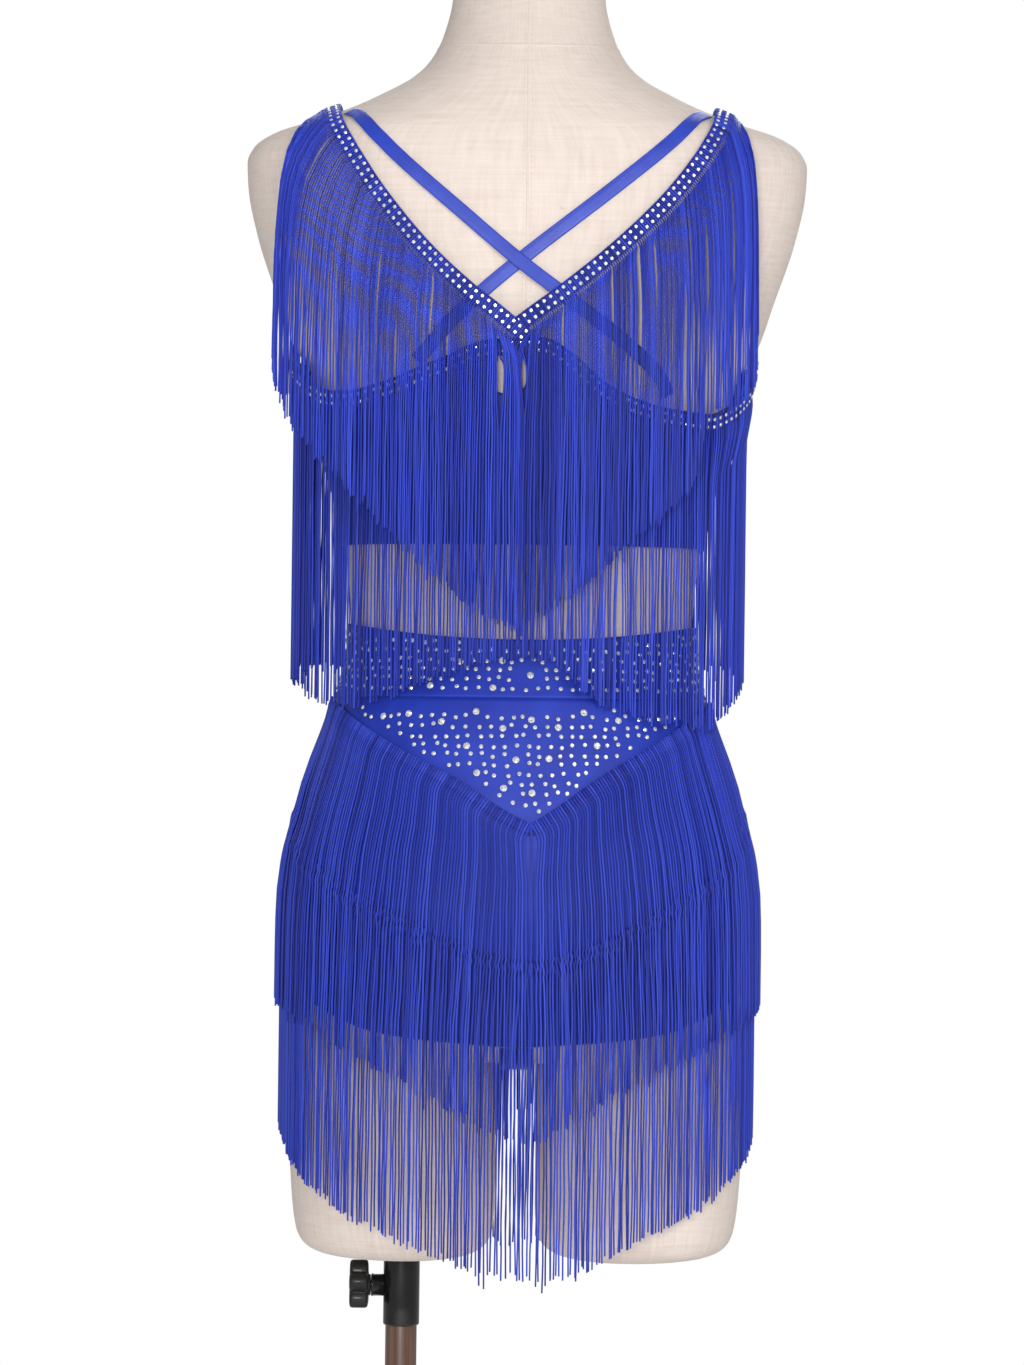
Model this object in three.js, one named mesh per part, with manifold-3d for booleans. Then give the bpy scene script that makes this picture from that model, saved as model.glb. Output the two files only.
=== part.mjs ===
// A two-piece samba costume, worn by a limbless dress form that slides on a floor stand.
// Millimetres, +Z up. The origin is the centre of the base plate's underside, X = 0 is the
// costume's plane of symmetry, its back faces -Y and its front +Y.
//
// The dress form is a stack of superellipse sections. Every piece of cloth and every fringe is
// worked out from the same sections, moved out by its layer.

import * as THREE from 'three';
import { mergeVertices } from 'three/addons/utils/BufferGeometryUtils.js';
import Module from 'manifold-3d';

const wasm = await Module();
wasm.setup();

// ---------------------------------------------------------------- stand, collar and knob

const BASE = { radius: 190, thick: 6, sides: 48 };
const SOCKET = { radius: 21, height: 26 };
const POLE = { x: -78.5, radius: 11, top: 862, sides: 20 };
const COLLAR = { radius: 12.65, bore: 11.5, low: 561, top: 660, chamfer: 1, z: 588.3 };
// The boss and the knob are measured out from the pole's axis, along -X.
const BOSS = { radius: 8, from: 11, to: 21.2, bore: 3.4 };
const KNOB = { radius: 17.5, waist: 11.5, thick: 13, from: 23.2, lobes: 5, bevel: 1.2 };
const KNOB_HUB = { radius: 7.5, from: 21.6 };
const KNOB_STUD = { radius: 3, to: 14 };
const FORM_BORE = { wide: 13.1, wideTop: 662, narrow: 12, top: 960 };

// ---------------------------------------------------------------- dress form

// One row for each section, from the crotch up to the top of the neck: half the width, how far
// the back and the front stand from Y = 0, and the superellipse exponent (2 is an ellipse).
const TORSO = [
  { z: 752, half: 147, back: 84, front: 75, round: 2.5 },
  { z: 759, half: 159, back: 95, front: 85, round: 2.5 },
  { z: 775, half: 159, back: 104, front: 90, round: 2.5 },
  { z: 800, half: 159, back: 111, front: 94, round: 2.45 },
  { z: 827, half: 159, back: 117, front: 98, round: 2.4 },
  { z: 858, half: 158.5, back: 121, front: 102, round: 2.35 },
  { z: 886, half: 155.5, back: 121, front: 105, round: 2.3 },
  { z: 925, half: 145.5, back: 116, front: 107, round: 2.3 },
  { z: 956, half: 138.5, back: 108, front: 107, round: 2.25 },
  { z: 993, half: 129, back: 96, front: 104, round: 2.2 },
  { z: 1020, half: 121.5, back: 85, front: 99, round: 2.15 },
  { z: 1046, half: 119, back: 79, front: 97, round: 2.15 },
  { z: 1072, half: 120.5, back: 79, front: 99, round: 2.15 },
  { z: 1107, half: 124.6, back: 83, front: 106, round: 2.2 },
  { z: 1150, half: 133, back: 89, front: 119, round: 2.25 },
  { z: 1190, half: 143, back: 94, front: 127, round: 2.3 },
  { z: 1222, half: 148, back: 98, front: 125, round: 2.35 },
  { z: 1247, half: 163, back: 100, front: 118, round: 2.45 },
  { z: 1278, half: 173.6, back: 102, front: 106, round: 2.5 },
  { z: 1320, half: 187.6, back: 100, front: 90, round: 2.6 },
  { z: 1354, half: 194.6, back: 96, front: 80, round: 2.6 },
  { z: 1371.6, half: 195.5, back: 93, front: 75, round: 2.55 },
  { z: 1382, half: 191, back: 90.5, front: 72, round: 2.5 },
  { z: 1391, half: 178, back: 88, front: 70, round: 2.45 },
  { z: 1399.6, half: 152, back: 85, front: 67, round: 2.35 },
  { z: 1410, half: 124, back: 81, front: 64, round: 2.25 },
  { z: 1420, half: 103, back: 77, front: 61, round: 2.15 },
  { z: 1431, half: 83, back: 73, front: 58, round: 2.1 },
  { z: 1443, half: 70, back: 68, front: 56, round: 2.05 },
  { z: 1461, half: 60.2, back: 60, front: 55, round: 2 },
  { z: 1488, half: 53.5, back: 50, front: 56, round: 2 },
  { z: 1522, half: 51.5, back: 44, front: 59, round: 2 },
  { z: 1530, half: 47, back: 40, front: 54, round: 2 },
];
// A thigh stump: where its inner and outer sides are, and its back and front.
const THIGH = [
  { z: 612.5, inner: 40, outer: 118, back: 56, front: 48 },
  { z: 613.5, inner: 33, outer: 127, back: 62, front: 54 },
  { z: 615.5, inner: 26, outer: 138, back: 69, front: 61 },
  { z: 619, inner: 20.5, outer: 145.5, back: 76, front: 68 },
  { z: 624, inner: 17, outer: 150, back: 81, front: 73 },
  { z: 632, inner: 15, outer: 153, back: 85.5, front: 77.5 },
  { z: 645, inner: 14, outer: 155, back: 88, front: 80 },
  { z: 680, inner: 14, outer: 157.5, back: 89.5, front: 81 },
  { z: 735, inner: 14, outer: 159.5, back: 91, front: 82 },
  { z: 790, inner: 24, outer: 148, back: 82, front: 74 },
];
const THIGH_ROUND = 2.5;
const TORSO_SIDES = 36;
const THIGH_SIDES = 22;

// ---------------------------------------------------------------- cloth

const CLOTH = { gap: 1.5, thick: 1.4 };
const SEAM_GAP = 0.3;
const BAND_BOTTOM = 1105;
// The bodice stands off the form under the arms, where its edge gapes.
const GAPE = { low: 1135, high: 1224, gone: 1250, most: 7.5 };
// The centre-back keyhole in the bodice.
const KEYHOLE = { left: -22.5, right: 0.5, low: 1207, high: 1236, corner: 8 };
// The bodice's edge is this far above the middle of the trim on it.
const EDGE_OVER_TRIM = { middle: 6.2, side: 14, sideFrom: 0.9 };
// Each half of the bodice's front. neck is its inner edge, as a distance from X = 0: the centre
// seam, then the neckline. arm is its outer edge, as degrees from the side: the side seam, then
// the armhole.
const FRONT_HALF = [
  { z: 1105, neck: 0, arm: 0 },
  { z: 1150, neck: 0, arm: 0 },
  { z: 1190, neck: 0, arm: 0 },
  { z: 1222, neck: 0, arm: 0 },
  { z: 1230, neck: 0, arm: 12 },
  { z: 1238, neck: 4, arm: 20 },
  { z: 1252, neck: 16, arm: 28 },
  { z: 1278, neck: 44, arm: 37 },
  { z: 1300, neck: 65, arm: 43 },
  { z: 1320, neck: 81, arm: 47 },
  { z: 1354, neck: 102, arm: 50 },
  { z: 1371.6, neck: 110, arm: 50 },
  { z: 1382, neck: 113, arm: 48 },
  { z: 1391, neck: 116, arm: 43 },
  { z: 1399.6, neck: 117, arm: 27 },
];
// Elastic straps that cross on the back, from the shoulder down to the bodice's edge.
const STRAP = { width: 9.6, thick: 1, gap: 1.2, over: 1.6, overLong: 34, steps: 22 };
const STRAP_LEFT = [
  { x: -122, z: 1401 },
  { x: -83, z: 1363.5 },
  { x: -41, z: 1327 },
  { x: -3, z: 1295 },
  { x: 27, z: 1273 },
  { x: 61, z: 1248 },
  { x: 80, z: 1232 },
  { x: 92, z: 1219 },
  { x: 97, z: 1208 },
];
const STRAP_RIGHT = [
  { x: 122, z: 1402 },
  { x: 92, z: 1375 },
  { x: 55, z: 1344 },
  { x: 4.5, z: 1304 },
  { x: -25, z: 1279.5 },
  { x: -49, z: 1257.5 },
  { x: -66, z: 1237.5 },
  { x: -73, z: 1229.5 },
];
const WAIST = { side: 1051, middle: 1040.5, fold: 1000.6 };
// The briefs' leg edge, from the side seam (turn 0) to the middle (turn 90).
const LEG_EDGE = [
  { turn: 0, z: 806 },
  { turn: 30, z: 792 },
  { turn: 60, z: 772 },
  { turn: 90, z: 764 },
];
// Where the briefs' wall bends, as shares of its height from the leg edge to the fold.
const BRIEFS_ROWS = [0, 0.05, 0.15, 0.27, 0.4, 0.54, 0.69, 0.84, 1];
// The gusset's upper face, from the briefs' back under the crotch to their front.
const GUSSET = { width: 21, thick: 1.4 };
const GUSSET_LINE = [
  { y: -100.4, z: 763.6 },
  { y: -97.4, z: 757 },
  { y: -86, z: 750.2 },
  { y: 76, z: 750.2 },
  { y: 87.4, z: 757 },
  { y: 90.6, z: 763.6 },
];

// ---------------------------------------------------------------- fringe

// Each fringe is a header tape with locks of strands fused into its lower edge. drop is the
// strands' length, locks how many there are, and layer how far their middle hangs off the form.
// lean is how far in it hangs at its right side.
const TAPE_THICK = 1.6;
const LOCK_THICK = 1.4;
const LOCK_SHARE = 0.8;
const CHEST = { width: 10.5, gap: 4.1, drop: 207, layer: 5, locks: 50, ease: 20, lean: 5 };
const HIP_UPPER = { width: 8, gap: 3.9, drop: 210, layer: 9.5, locks: 48, ease: 60, lean: 0 };
const HIP_LOWER = { width: 8, gap: 3.8, drop: 210, layer: 5.8, locks: 48, ease: 30, lean: 0 };
// Strands that slide over the shoulder are longer: sideways is how much of that way their drop has.
const NECK = {
  width: 10.5, drop: 203, layer: 10.1, shoulder: 8, locks: 26, ease: 40, swing: 26, sideways: 0.6,
};
const CHEST_TOP = 1232;
// Where along a strand its points are, as shares of its length.
const NECK_SHARES = { back: [0.07, 0.18, 0.36, 1], front: [0.07, 0.25, 0.5, 0.75, 1] };
const CHEST_SHARES = [0.08, 1];
const UPPER_SHARES = [0.14, 0.38, 0.62, 1];
const LOWER_SHARES = [0.14, 0.32, 1];

// The middle of the chest trim, right round: turn 0 is the right side, -90 the centre back.
const CHEST_LINE = [
  { turn: -180, z: 1226 },
  { turn: -167, z: 1220 },
  { turn: -158, z: 1211.5 },
  { turn: -149, z: 1204.5 },
  { turn: -139, z: 1203.3 },
  { turn: -123.5, z: 1209.7 },
  { turn: -114, z: 1218 },
  { turn: -105, z: 1226.5 },
  { turn: -97, z: 1236 },
  { turn: -88, z: 1238.8 },
  { turn: -82, z: 1229 },
  { turn: -74, z: 1211 },
  { turn: -64, z: 1199 },
  { turn: -53, z: 1193 },
  { turn: -36, z: 1190.5 },
  { turn: -25, z: 1197.5 },
  { turn: -12, z: 1210 },
  { turn: 0, z: 1223 },
  { turn: 20, z: 1231 },
  { turn: 50, z: 1232 },
  { turn: 90, z: 1226 },
  { turn: 130, z: 1232 },
  { turn: 160, z: 1231 },
  { turn: 180, z: 1226 },
];
// The middle of each hip trim over a quarter, from the side (turn 0) to the middle (turn 90).
const HIP_UPPER_LINE = [
  { turn: 0, z: 996 },
  { turn: 18, z: 991 },
  { turn: 38, z: 978 },
  { turn: 58, z: 959.5 },
  { turn: 74, z: 941 },
  { turn: 84, z: 923.5 },
  { turn: 90, z: 912 },
];
const HIP_LOWER_LINE = [
  { turn: 0, z: 921 },
  { turn: 15, z: 902 },
  { turn: 37, z: 876 },
  { turn: 53, z: 859.5 },
  { turn: 67, z: 843.5 },
  { turn: 79, z: 829.5 },
  { turn: 90, z: 818.5 },
];
// The hip trims' points sit off the centre back: degrees of turn, fading out to the sides.
const HIP_SHIFT = { most: 1.8, near: 10, far: 45 };
// The neck trim from the back V over the shoulder to the front V, for the right side. gap is how
// far its inside stands off the form: it rides over the chest trim at the two Vs.
const NECK_LINE = [
  { side: 'back', x: 0, z: 1252.3, gap: 5.6 },
  { side: 'back', x: 15, z: 1263.5, gap: 5.6 },
  { side: 'back', x: 32, z: 1276, gap: 5.4 },
  { side: 'back', x: 64, z: 1304, gap: 4.4 },
  { side: 'back', x: 97, z: 1340, gap: 3.6 },
  { side: 'back', x: 117, z: 1368, gap: 3.6 },
  { side: 'back', x: 129, z: 1388, gap: 3.8 },
  { side: 'top', x: 133, z: 1405, gap: 4 },
  { side: 'front', x: 128, z: 1390, gap: 4.4 },
  { side: 'front', x: 112, z: 1362, gap: 3.6 },
  { side: 'front', x: 84, z: 1316, gap: 3.4 },
  { side: 'front', x: 52, z: 1277, gap: 4.4 },
  { side: 'front', x: 20, z: 1250, gap: 5.4 },
  { side: 'front', x: 0, z: 1239, gap: 5.6 },
];
// The left trim runs past the middle and over the right one at both Vs.
const NECK_OVERLAP = { x: 8, drop: 7.5, lift: 2.4, long: 26 };
// The back V's point sits off centre; its trims come back to even up at the shoulders.
const NECK_SHIFT = { x: -6.5, from: 1262, to: 1372 };
// How far a neck strand swings away from X = 0 before it hangs, by where on the trim it starts.
const NECK_SWING = [
  { z: 1230, left: 0, right: 0 },
  { z: 1262, left: 1, right: 1 },
  { z: 1300, left: 4.5, right: 3 },
  { z: 1340, left: 11, right: 6 },
  { z: 1366, left: 18.5, right: 8 },
  { z: 1388, left: 24, right: 10 },
  { z: 1405, left: 24, right: 10 },
];
// On the shoulder the strands fan out further, the more the nearer they are to Y = 0. The tape
// has no locks on the very top, above bareOver.
const NECK_FAN = { slope: 0.28, long: 85, most: 6.8, bareOver: 1404 };
// How much shorter the strands are that hang from these heights.
const NECK_SHORTER = [
  { z: 1345, left: 0, right: 0 },
  { z: 1354, left: 0, right: 6 },
  { z: 1364, left: 0, right: 33 },
  { z: 1372, left: 0, right: 29 },
  { z: 1390, left: 0, right: 11 },
  { z: 1405, left: 0, right: 3 },
];
// A fringe leans in between these places at the right, and over this much of its drop.
const LEAN = { from: 118, to: 150, high: 4, low: 40 };

// ---------------------------------------------------------------- looks

const BLUE = new THREE.MeshStandardMaterial({ color: 0x2334c4, roughness: 0.6, metalness: 0 });
const STRAND = new THREE.MeshStandardMaterial({ color: 0x1f2cae, roughness: 0.5, metalness: 0 });
const LINEN = new THREE.MeshStandardMaterial({ color: 0xcfc3b0, roughness: 0.9, metalness: 0 });
const BLACK = new THREE.MeshStandardMaterial({ color: 0x111113, roughness: 0.4, metalness: 0.3 });
const WOOD = new THREE.MeshStandardMaterial({ color: 0x4a2c1e, roughness: 0.45, metalness: 0 });

// ---------------------------------------------------------------- numbers and curves

const radians = THREE.MathUtils.degToRad;
const ramp = (value, from, to) => THREE.MathUtils.smoothstep(value, from, to);

// A smooth curve through one column of a table, with no swing past its rows.
function column(rows, key, name) {
  const at = rows.map((row) => row[key]);
  const value = rows.map((row) => row[name]);
  const step = at.slice(1).map((next, i) => (value[i + 1] - value[i]) / (next - at[i]));
  const slope = at.map((_, i) => {
    if (i === 0 || i === at.length - 1) {
      return step[Math.min(i, step.length - 1)];
    }
    const [before, after] = [step[i - 1], step[i]];
    return before * after > 0 ? (2 * before * after) / (before + after) : 0;
  });
  return (x) => {
    const inside = THREE.MathUtils.clamp(x, at[0], at.at(-1));
    const i = Math.min(at.length - 2, Math.max(0, at.findLastIndex((a) => a <= inside)));
    const span = at[i + 1] - at[i];
    const t = (inside - at[i]) / span;
    const [t2, t3] = [t * t, t * t * t];
    return (
      (2 * t3 - 3 * t2 + 1) * value[i] +
      (t3 - 2 * t2 + t) * span * slope[i] +
      (3 * t2 - 2 * t3) * value[i + 1] +
      (t3 - t2) * span * slope[i + 1]
    );
  };
}

function columns(rows, key, names) {
  const curves = names.map((name) => [name, column(rows, key, name)]);
  return (x) => Object.fromEntries(curves.map(([name, curve]) => [name, curve(x)]));
}

// ---------------------------------------------------------------- surfaces from sections

const sign = (x) => (x < 0 ? -1 : 1);

// The point of a superellipse section at a turn about Z, moved straight out of it by out.
function onSection(section, turn, z, out = 0) {
  const power = 2 / section.round;
  const depth = Math.sin(turn) < 0 ? section.back : section.front;
  const across = sign(Math.cos(turn)) * Math.abs(Math.cos(turn)) ** power;
  const along = sign(Math.sin(turn)) * Math.abs(Math.sin(turn)) ** power;
  const normal = new THREE.Vector3(
    (sign(across) * Math.abs(across) ** (section.round - 1)) / section.half,
    (sign(along) * Math.abs(along) ** (section.round - 1)) / depth,
    0,
  ).normalize();
  return new THREE.Vector3(section.half * across, depth * along, z).addScaledVector(normal, out);
}

const formSection = columns(TORSO, 'z', ['half', 'back', 'front', 'round']);
const gape = (z) => GAPE.most * ramp(z, GAPE.low, GAPE.high) * (1 - ramp(z, GAPE.high, GAPE.gone));

function bodiceSection(z) {
  const section = formSection(z);
  return { ...section, half: section.half + gape(z) };
}

// How far outside a surface a point is, in section units: 0 is on it.
function outside(sectionAt, point) {
  const section = sectionAt(point.z);
  const depth = point.y < 0 ? section.back : section.front;
  const across = Math.abs(point.x / section.half) ** section.round;
  return across + Math.abs(point.y / depth) ** section.round - 1;
}

function gradient(sectionAt, point) {
  const step = 0.5;
  const along = (axis) => {
    const ahead = point.clone();
    const behind = point.clone();
    ahead[axis] += step;
    behind[axis] -= step;
    return (outside(sectionAt, ahead) - outside(sectionAt, behind)) / (2 * step);
  };
  return new THREE.Vector3(along('x'), along('y'), along('z'));
}

// Brings a point onto a surface, and then out along its normal.
function settle(point, out, sectionAt = formSection) {
  const place = point.clone();
  for (let i = 0; i < 12; i += 1) {
    const slope = gradient(sectionAt, place);
    place.addScaledVector(slope, -outside(sectionAt, place) / slope.lengthSq());
  }
  const normal = gradient(sectionAt, place).normalize();
  return { place: place.addScaledVector(normal, out), normal };
}

// How far a surface, grown by out, reaches to the back or the front at a place seen from there.
function depthAt(x, z, side, sectionAt = formSection, out = 0) {
  const section = sectionAt(z);
  const depth = (side === 'back' ? section.back : section.front) + out;
  const left = 1 - Math.abs(x / (section.half + out)) ** section.round;
  return left > 0 ? depth * left ** (1 / section.round) : 0;
}

function onSide(row) {
  const reach = { back: -depthAt(row.x, row.z, 'back'), front: depthAt(row.x, row.z, 'front') };
  return new THREE.Vector3(row.x, row.side === 'top' ? 0 : reach[row.side], row.z);
}

// ---------------------------------------------------------------- closed meshes

// A closed mesh from points and faces, turned inside out where its volume says so.
function closedMesh(points, faces) {
  const triangles = faces.flatMap(([a, b, c, d]) => (d === undefined ? [a, b, c] : [a, b, c, a, c, d]));
  let volume = 0;
  for (let i = 0; i < triangles.length; i += 3) {
    const [a, b, c] = [points[triangles[i]], points[triangles[i + 1]], points[triangles[i + 2]]];
    volume += a.dot(b.clone().cross(c));
  }
  const geometry = new THREE.BufferGeometry().setFromPoints(points);
  geometry.setIndex(volume < 0 ? triangles.reverse() : triangles);
  return geometry;
}

// Rings of points, one above another, closed with flat ends.
function loft(rings) {
  const count = rings[0].length;
  const faces = [];
  for (let ring = 0; ring < rings.length - 1; ring += 1) {
    for (let i = 0; i < count; i += 1) {
      const next = (i + 1) % count;
      faces.push([ring * count + i, ring * count + next, (ring + 1) * count + next, (ring + 1) * count + i]);
    }
  }
  const points = rings.flat();
  for (const [ring, turned] of [[0, true], [rings.length - 1, false]]) {
    const middle = points.length;
    const mean = rings[ring].reduce((sum, p) => sum.add(p), new THREE.Vector3());
    points.push(mean.divideScalar(count));
    for (let i = 0; i < count; i += 1) {
      const pair = [ring * count + i, ring * count + ((i + 1) % count)];
      faces.push(turned ? [pair[1], pair[0], middle] : [...pair, middle]);
    }
  }
  return closedMesh(points, faces);
}

// A cloth wall: pointAt(u, v, out) gives its points, u along it and v up it.
function wall(along, up, pointAt, gap = CLOTH.gap, thick = CLOTH.thick) {
  const points = [];
  for (const out of [gap, gap + thick]) {
    for (let j = 0; j <= up; j += 1) {
      for (let i = 0; i <= along; i += 1) {
        points.push(pointAt(i / along, j / up, out));
      }
    }
  }
  const layer = (along + 1) * (up + 1);
  const at = (i, j, side) => side * layer + j * (along + 1) + i;
  const faces = [];
  for (let j = 0; j < up; j += 1) {
    for (let i = 0; i < along; i += 1) {
      faces.push([at(i, j, 1), at(i + 1, j, 1), at(i + 1, j + 1, 1), at(i, j + 1, 1)]);
      faces.push([at(i, j, 0), at(i, j + 1, 0), at(i + 1, j + 1, 0), at(i + 1, j, 0)]);
    }
    faces.push([at(0, j, 0), at(0, j, 1), at(0, j + 1, 1), at(0, j + 1, 0)]);
    faces.push([at(along, j, 1), at(along, j, 0), at(along, j + 1, 0), at(along, j + 1, 1)]);
  }
  for (let i = 0; i < along; i += 1) {
    faces.push([at(i, 0, 0), at(i + 1, 0, 0), at(i + 1, 0, 1), at(i, 0, 1)]);
    faces.push([at(i, up, 1), at(i + 1, up, 1), at(i + 1, up, 0), at(i, up, 0)]);
  }
  return closedMesh(points, faces);
}

function toSolid(geometry) {
  const bare = geometry.clone();
  bare.deleteAttribute('normal');
  bare.deleteAttribute('uv');
  const merged = mergeVertices(bare, 1e-4);
  return new wasm.Manifold(new wasm.Mesh({
    numProp: 3,
    vertProperties: new Float32Array(merged.attributes.position.array),
    triVerts: new Uint32Array(merged.index.array),
  }));
}

function toGeometry(solid) {
  const mesh = solid.getMesh();
  const geometry = new THREE.BufferGeometry();
  geometry.setAttribute('position', new THREE.BufferAttribute(mesh.vertProperties, 3));
  geometry.setIndex(new THREE.BufferAttribute(mesh.triVerts, 1));
  return geometry;
}

// An upright or level cylinder between two places on its axis.
function rod(radius, from, to, sides) {
  const axis = to.clone().sub(from);
  const geometry = new THREE.CylinderGeometry(radius, radius, axis.length(), sides);
  const up = new THREE.Vector3(0, 1, 0);
  geometry.applyQuaternion(new THREE.Quaternion().setFromUnitVectors(up, axis.clone().normalize()));
  const middle = from.clone().add(to).multiplyScalar(0.5);
  return geometry.translate(middle.x, middle.y, middle.z);
}

const onPole = (z) => new THREE.Vector3(POLE.x, 0, z);
const onKnobAxis = (out) => new THREE.Vector3(POLE.x - out, 0, COLLAR.z);

const group = new THREE.Group();

function add(name, geometry, material) {
  const mesh = new THREE.Mesh(geometry, material);
  mesh.name = name;
  group.add(mesh);
}

// ---------------------------------------------------------------- stand

function standBase() {
  const plate = rod(BASE.radius, new THREE.Vector3(), new THREE.Vector3(0, 0, BASE.thick), BASE.sides);
  const socket = rod(SOCKET.radius, onPole(BASE.thick / 2), onPole(SOCKET.height), POLE.sides);
  const hole = rod(POLE.radius + SEAM_GAP, onPole(BASE.thick), onPole(SOCKET.height + 1), POLE.sides);
  return toGeometry(toSolid(plate).add(toSolid(socket)).subtract(toSolid(hole)));
}

function poleCollar() {
  const { radius, bore, low, top, chamfer } = COLLAR;
  const profile = [
    [bore, low], [radius - chamfer, low], [radius, low + chamfer], [radius, top], [bore, top], [bore, low],
  ];
  const tube = new THREE.LatheGeometry(profile.map(([r, z]) => new THREE.Vector2(r, z)), POLE.sides);
  tube.rotateX(Math.PI / 2).translate(POLE.x, 0, 0);
  const boss = rod(BOSS.radius, onKnobAxis(BOSS.to), onKnobAxis(BOSS.from), POLE.sides);
  const drill = rod(BOSS.bore, onKnobAxis(BOSS.to + 1), onKnobAxis(BOSS.from - 4), POLE.sides);
  const slideway = rod(bore, onPole(low - 1), onPole(top + 1), POLE.sides);
  return toGeometry(toSolid(tube).add(toSolid(boss)).subtract(toSolid(slideway)).subtract(toSolid(drill)));
}

// A star knob whose lobes are a wave round its rim, with its hub and its screw.
function clampKnob() {
  const rim = [];
  const points = KNOB.lobes * 6;
  for (let i = 0; i < points; i += 1) {
    const turn = (2 * Math.PI * i) / points;
    const lobe = Math.cos(KNOB.lobes * turn) * 0.5 + 0.5;
    const radius = KNOB.waist + (KNOB.radius - KNOB.waist) * Math.sqrt(lobe) - KNOB.bevel;
    rim.push(new THREE.Vector2(radius * Math.cos(turn), radius * Math.sin(turn)));
  }
  const star = new THREE.ExtrudeGeometry(new THREE.Shape(rim), {
    depth: KNOB.thick - 2 * KNOB.bevel,
    bevelSize: KNOB.bevel,
    bevelThickness: KNOB.bevel,
    bevelSegments: 1,
  });
  star.rotateY(-Math.PI / 2).translate(POLE.x - KNOB.from - KNOB.bevel, 0, COLLAR.z);
  const hub = rod(KNOB_HUB.radius, onKnobAxis(KNOB.from + 2), onKnobAxis(KNOB_HUB.from), POLE.sides);
  const stud = rod(KNOB_STUD.radius, onKnobAxis(KNOB.from + 2), onKnobAxis(KNOB_STUD.to), 12);
  return toGeometry(toSolid(star).add(toSolid(hub)).add(toSolid(stud)));
}

// ---------------------------------------------------------------- dress form

function sectionRing(section, z, sides, middle = 0) {
  return Array.from({ length: sides }, (_, i) => {
    const point = onSection(section, (2 * Math.PI * i) / sides, z);
    return point.setX(point.x + middle);
  });
}

function thigh(side) {
  return loft(THIGH.map((row) => {
    const section = { ...row, half: (row.outer - row.inner) / 2, round: THIGH_ROUND };
    return sectionRing(section, row.z, THIGH_SIDES, (side * (row.inner + row.outer)) / 2);
  }));
}

function dressForm() {
  const torso = loft(TORSO.map((row) => sectionRing(row, row.z, TORSO_SIDES)));
  const low = THIGH[0].z - 1;
  const wide = rod(FORM_BORE.wide, onPole(low), onPole(FORM_BORE.wideTop), POLE.sides);
  const narrow = rod(FORM_BORE.narrow, onPole(low), onPole(FORM_BORE.top), POLE.sides);
  const body = toSolid(torso).add(toSolid(thigh(-1))).add(toSolid(thigh(1)));
  return toGeometry(body.subtract(toSolid(wide)).subtract(toSolid(narrow)));
}

// ---------------------------------------------------------------- cloth

const chestLine = column(CHEST_LINE, 'turn', 'z');
const legEdge = column(LEG_EDGE, 'turn', 'z');

// A turn in radians as degrees from the nearest side seam, 0 to 90.
const fromSide = (turn) => THREE.MathUtils.radToDeg(Math.asin(Math.min(1, Math.abs(Math.sin(turn)))));
const fullTurn = (turn) => THREE.MathUtils.radToDeg(Math.atan2(Math.sin(turn), Math.cos(turn)));

function bodiceEdge(turn) {
  const toSide = ramp(Math.abs(Math.cos(turn)), EDGE_OVER_TRIM.sideFrom, 1);
  const over = THREE.MathUtils.lerp(EDGE_OVER_TRIM.middle, EDGE_OVER_TRIM.side, toSide);
  return chestLine(fullTurn(turn)) + over;
}

// The turn at a share of the way along a half of the garment, clear of both side seams.
function halfTurn(share, side, half) {
  const clear = SEAM_GAP / 2 / half;
  const from = side === 'back' ? -Math.PI : 0;
  return from + clear + share * (Math.PI - 2 * clear);
}

function bodiceBack() {
  const panel = wall(24, 5, (u, v, out) => {
    const turn = halfTurn(u, 'back', bodiceSection(GAPE.high).half);
    const z = THREE.MathUtils.lerp(BAND_BOTTOM, bodiceEdge(turn), v);
    return onSection(bodiceSection(z), turn, z, out);
  });
  const { left, right, low, high, corner } = KEYHOLE;
  const hole = new THREE.Shape();
  hole.moveTo(left, low + corner);
  hole.absarc(left + corner, low + corner, corner, Math.PI, 1.5 * Math.PI);
  hole.absarc(right - corner, low + corner, corner, 1.5 * Math.PI, 2 * Math.PI);
  hole.absarc(right - corner, high - corner, corner, 0, 0.5 * Math.PI);
  hole.absarc(left + corner, high - corner, corner, 0.5 * Math.PI, Math.PI);
  const cutter = new THREE.ExtrudeGeometry(hole, { depth: 200, bevelEnabled: false, curveSegments: 3 });
  cutter.rotateX(Math.PI / 2);
  return toGeometry(toSolid(panel).subtract(toSolid(cutter)));
}

// One half of the bodice's front, on the right (side 1) or the left (side -1).
function bodiceFront(side) {
  const edges = columns(FRONT_HALF, 'z', ['neck', 'arm']);
  const levels = FRONT_HALF.map((row) => row.z);
  const clear = SEAM_GAP / 2;
  return wall(9, levels.length - 1, (u, v, out) => {
    const z = levels[Math.round(v * (levels.length - 1))];
    const section = bodiceSection(z);
    const { neck, arm } = edges(z);
    const inner = Math.acos((Math.max(neck, clear) / section.half) ** (section.round / 2));
    const outer = Math.max(radians(arm), clear / section.half);
    const point = onSection(section, THREE.MathUtils.lerp(inner, outer, u), z);
    const { place } = settle(point, out, bodiceSection);
    return place.set(side * Math.max(place.x, clear), Math.max(place.y, clear), place.z);
  });
}

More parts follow.
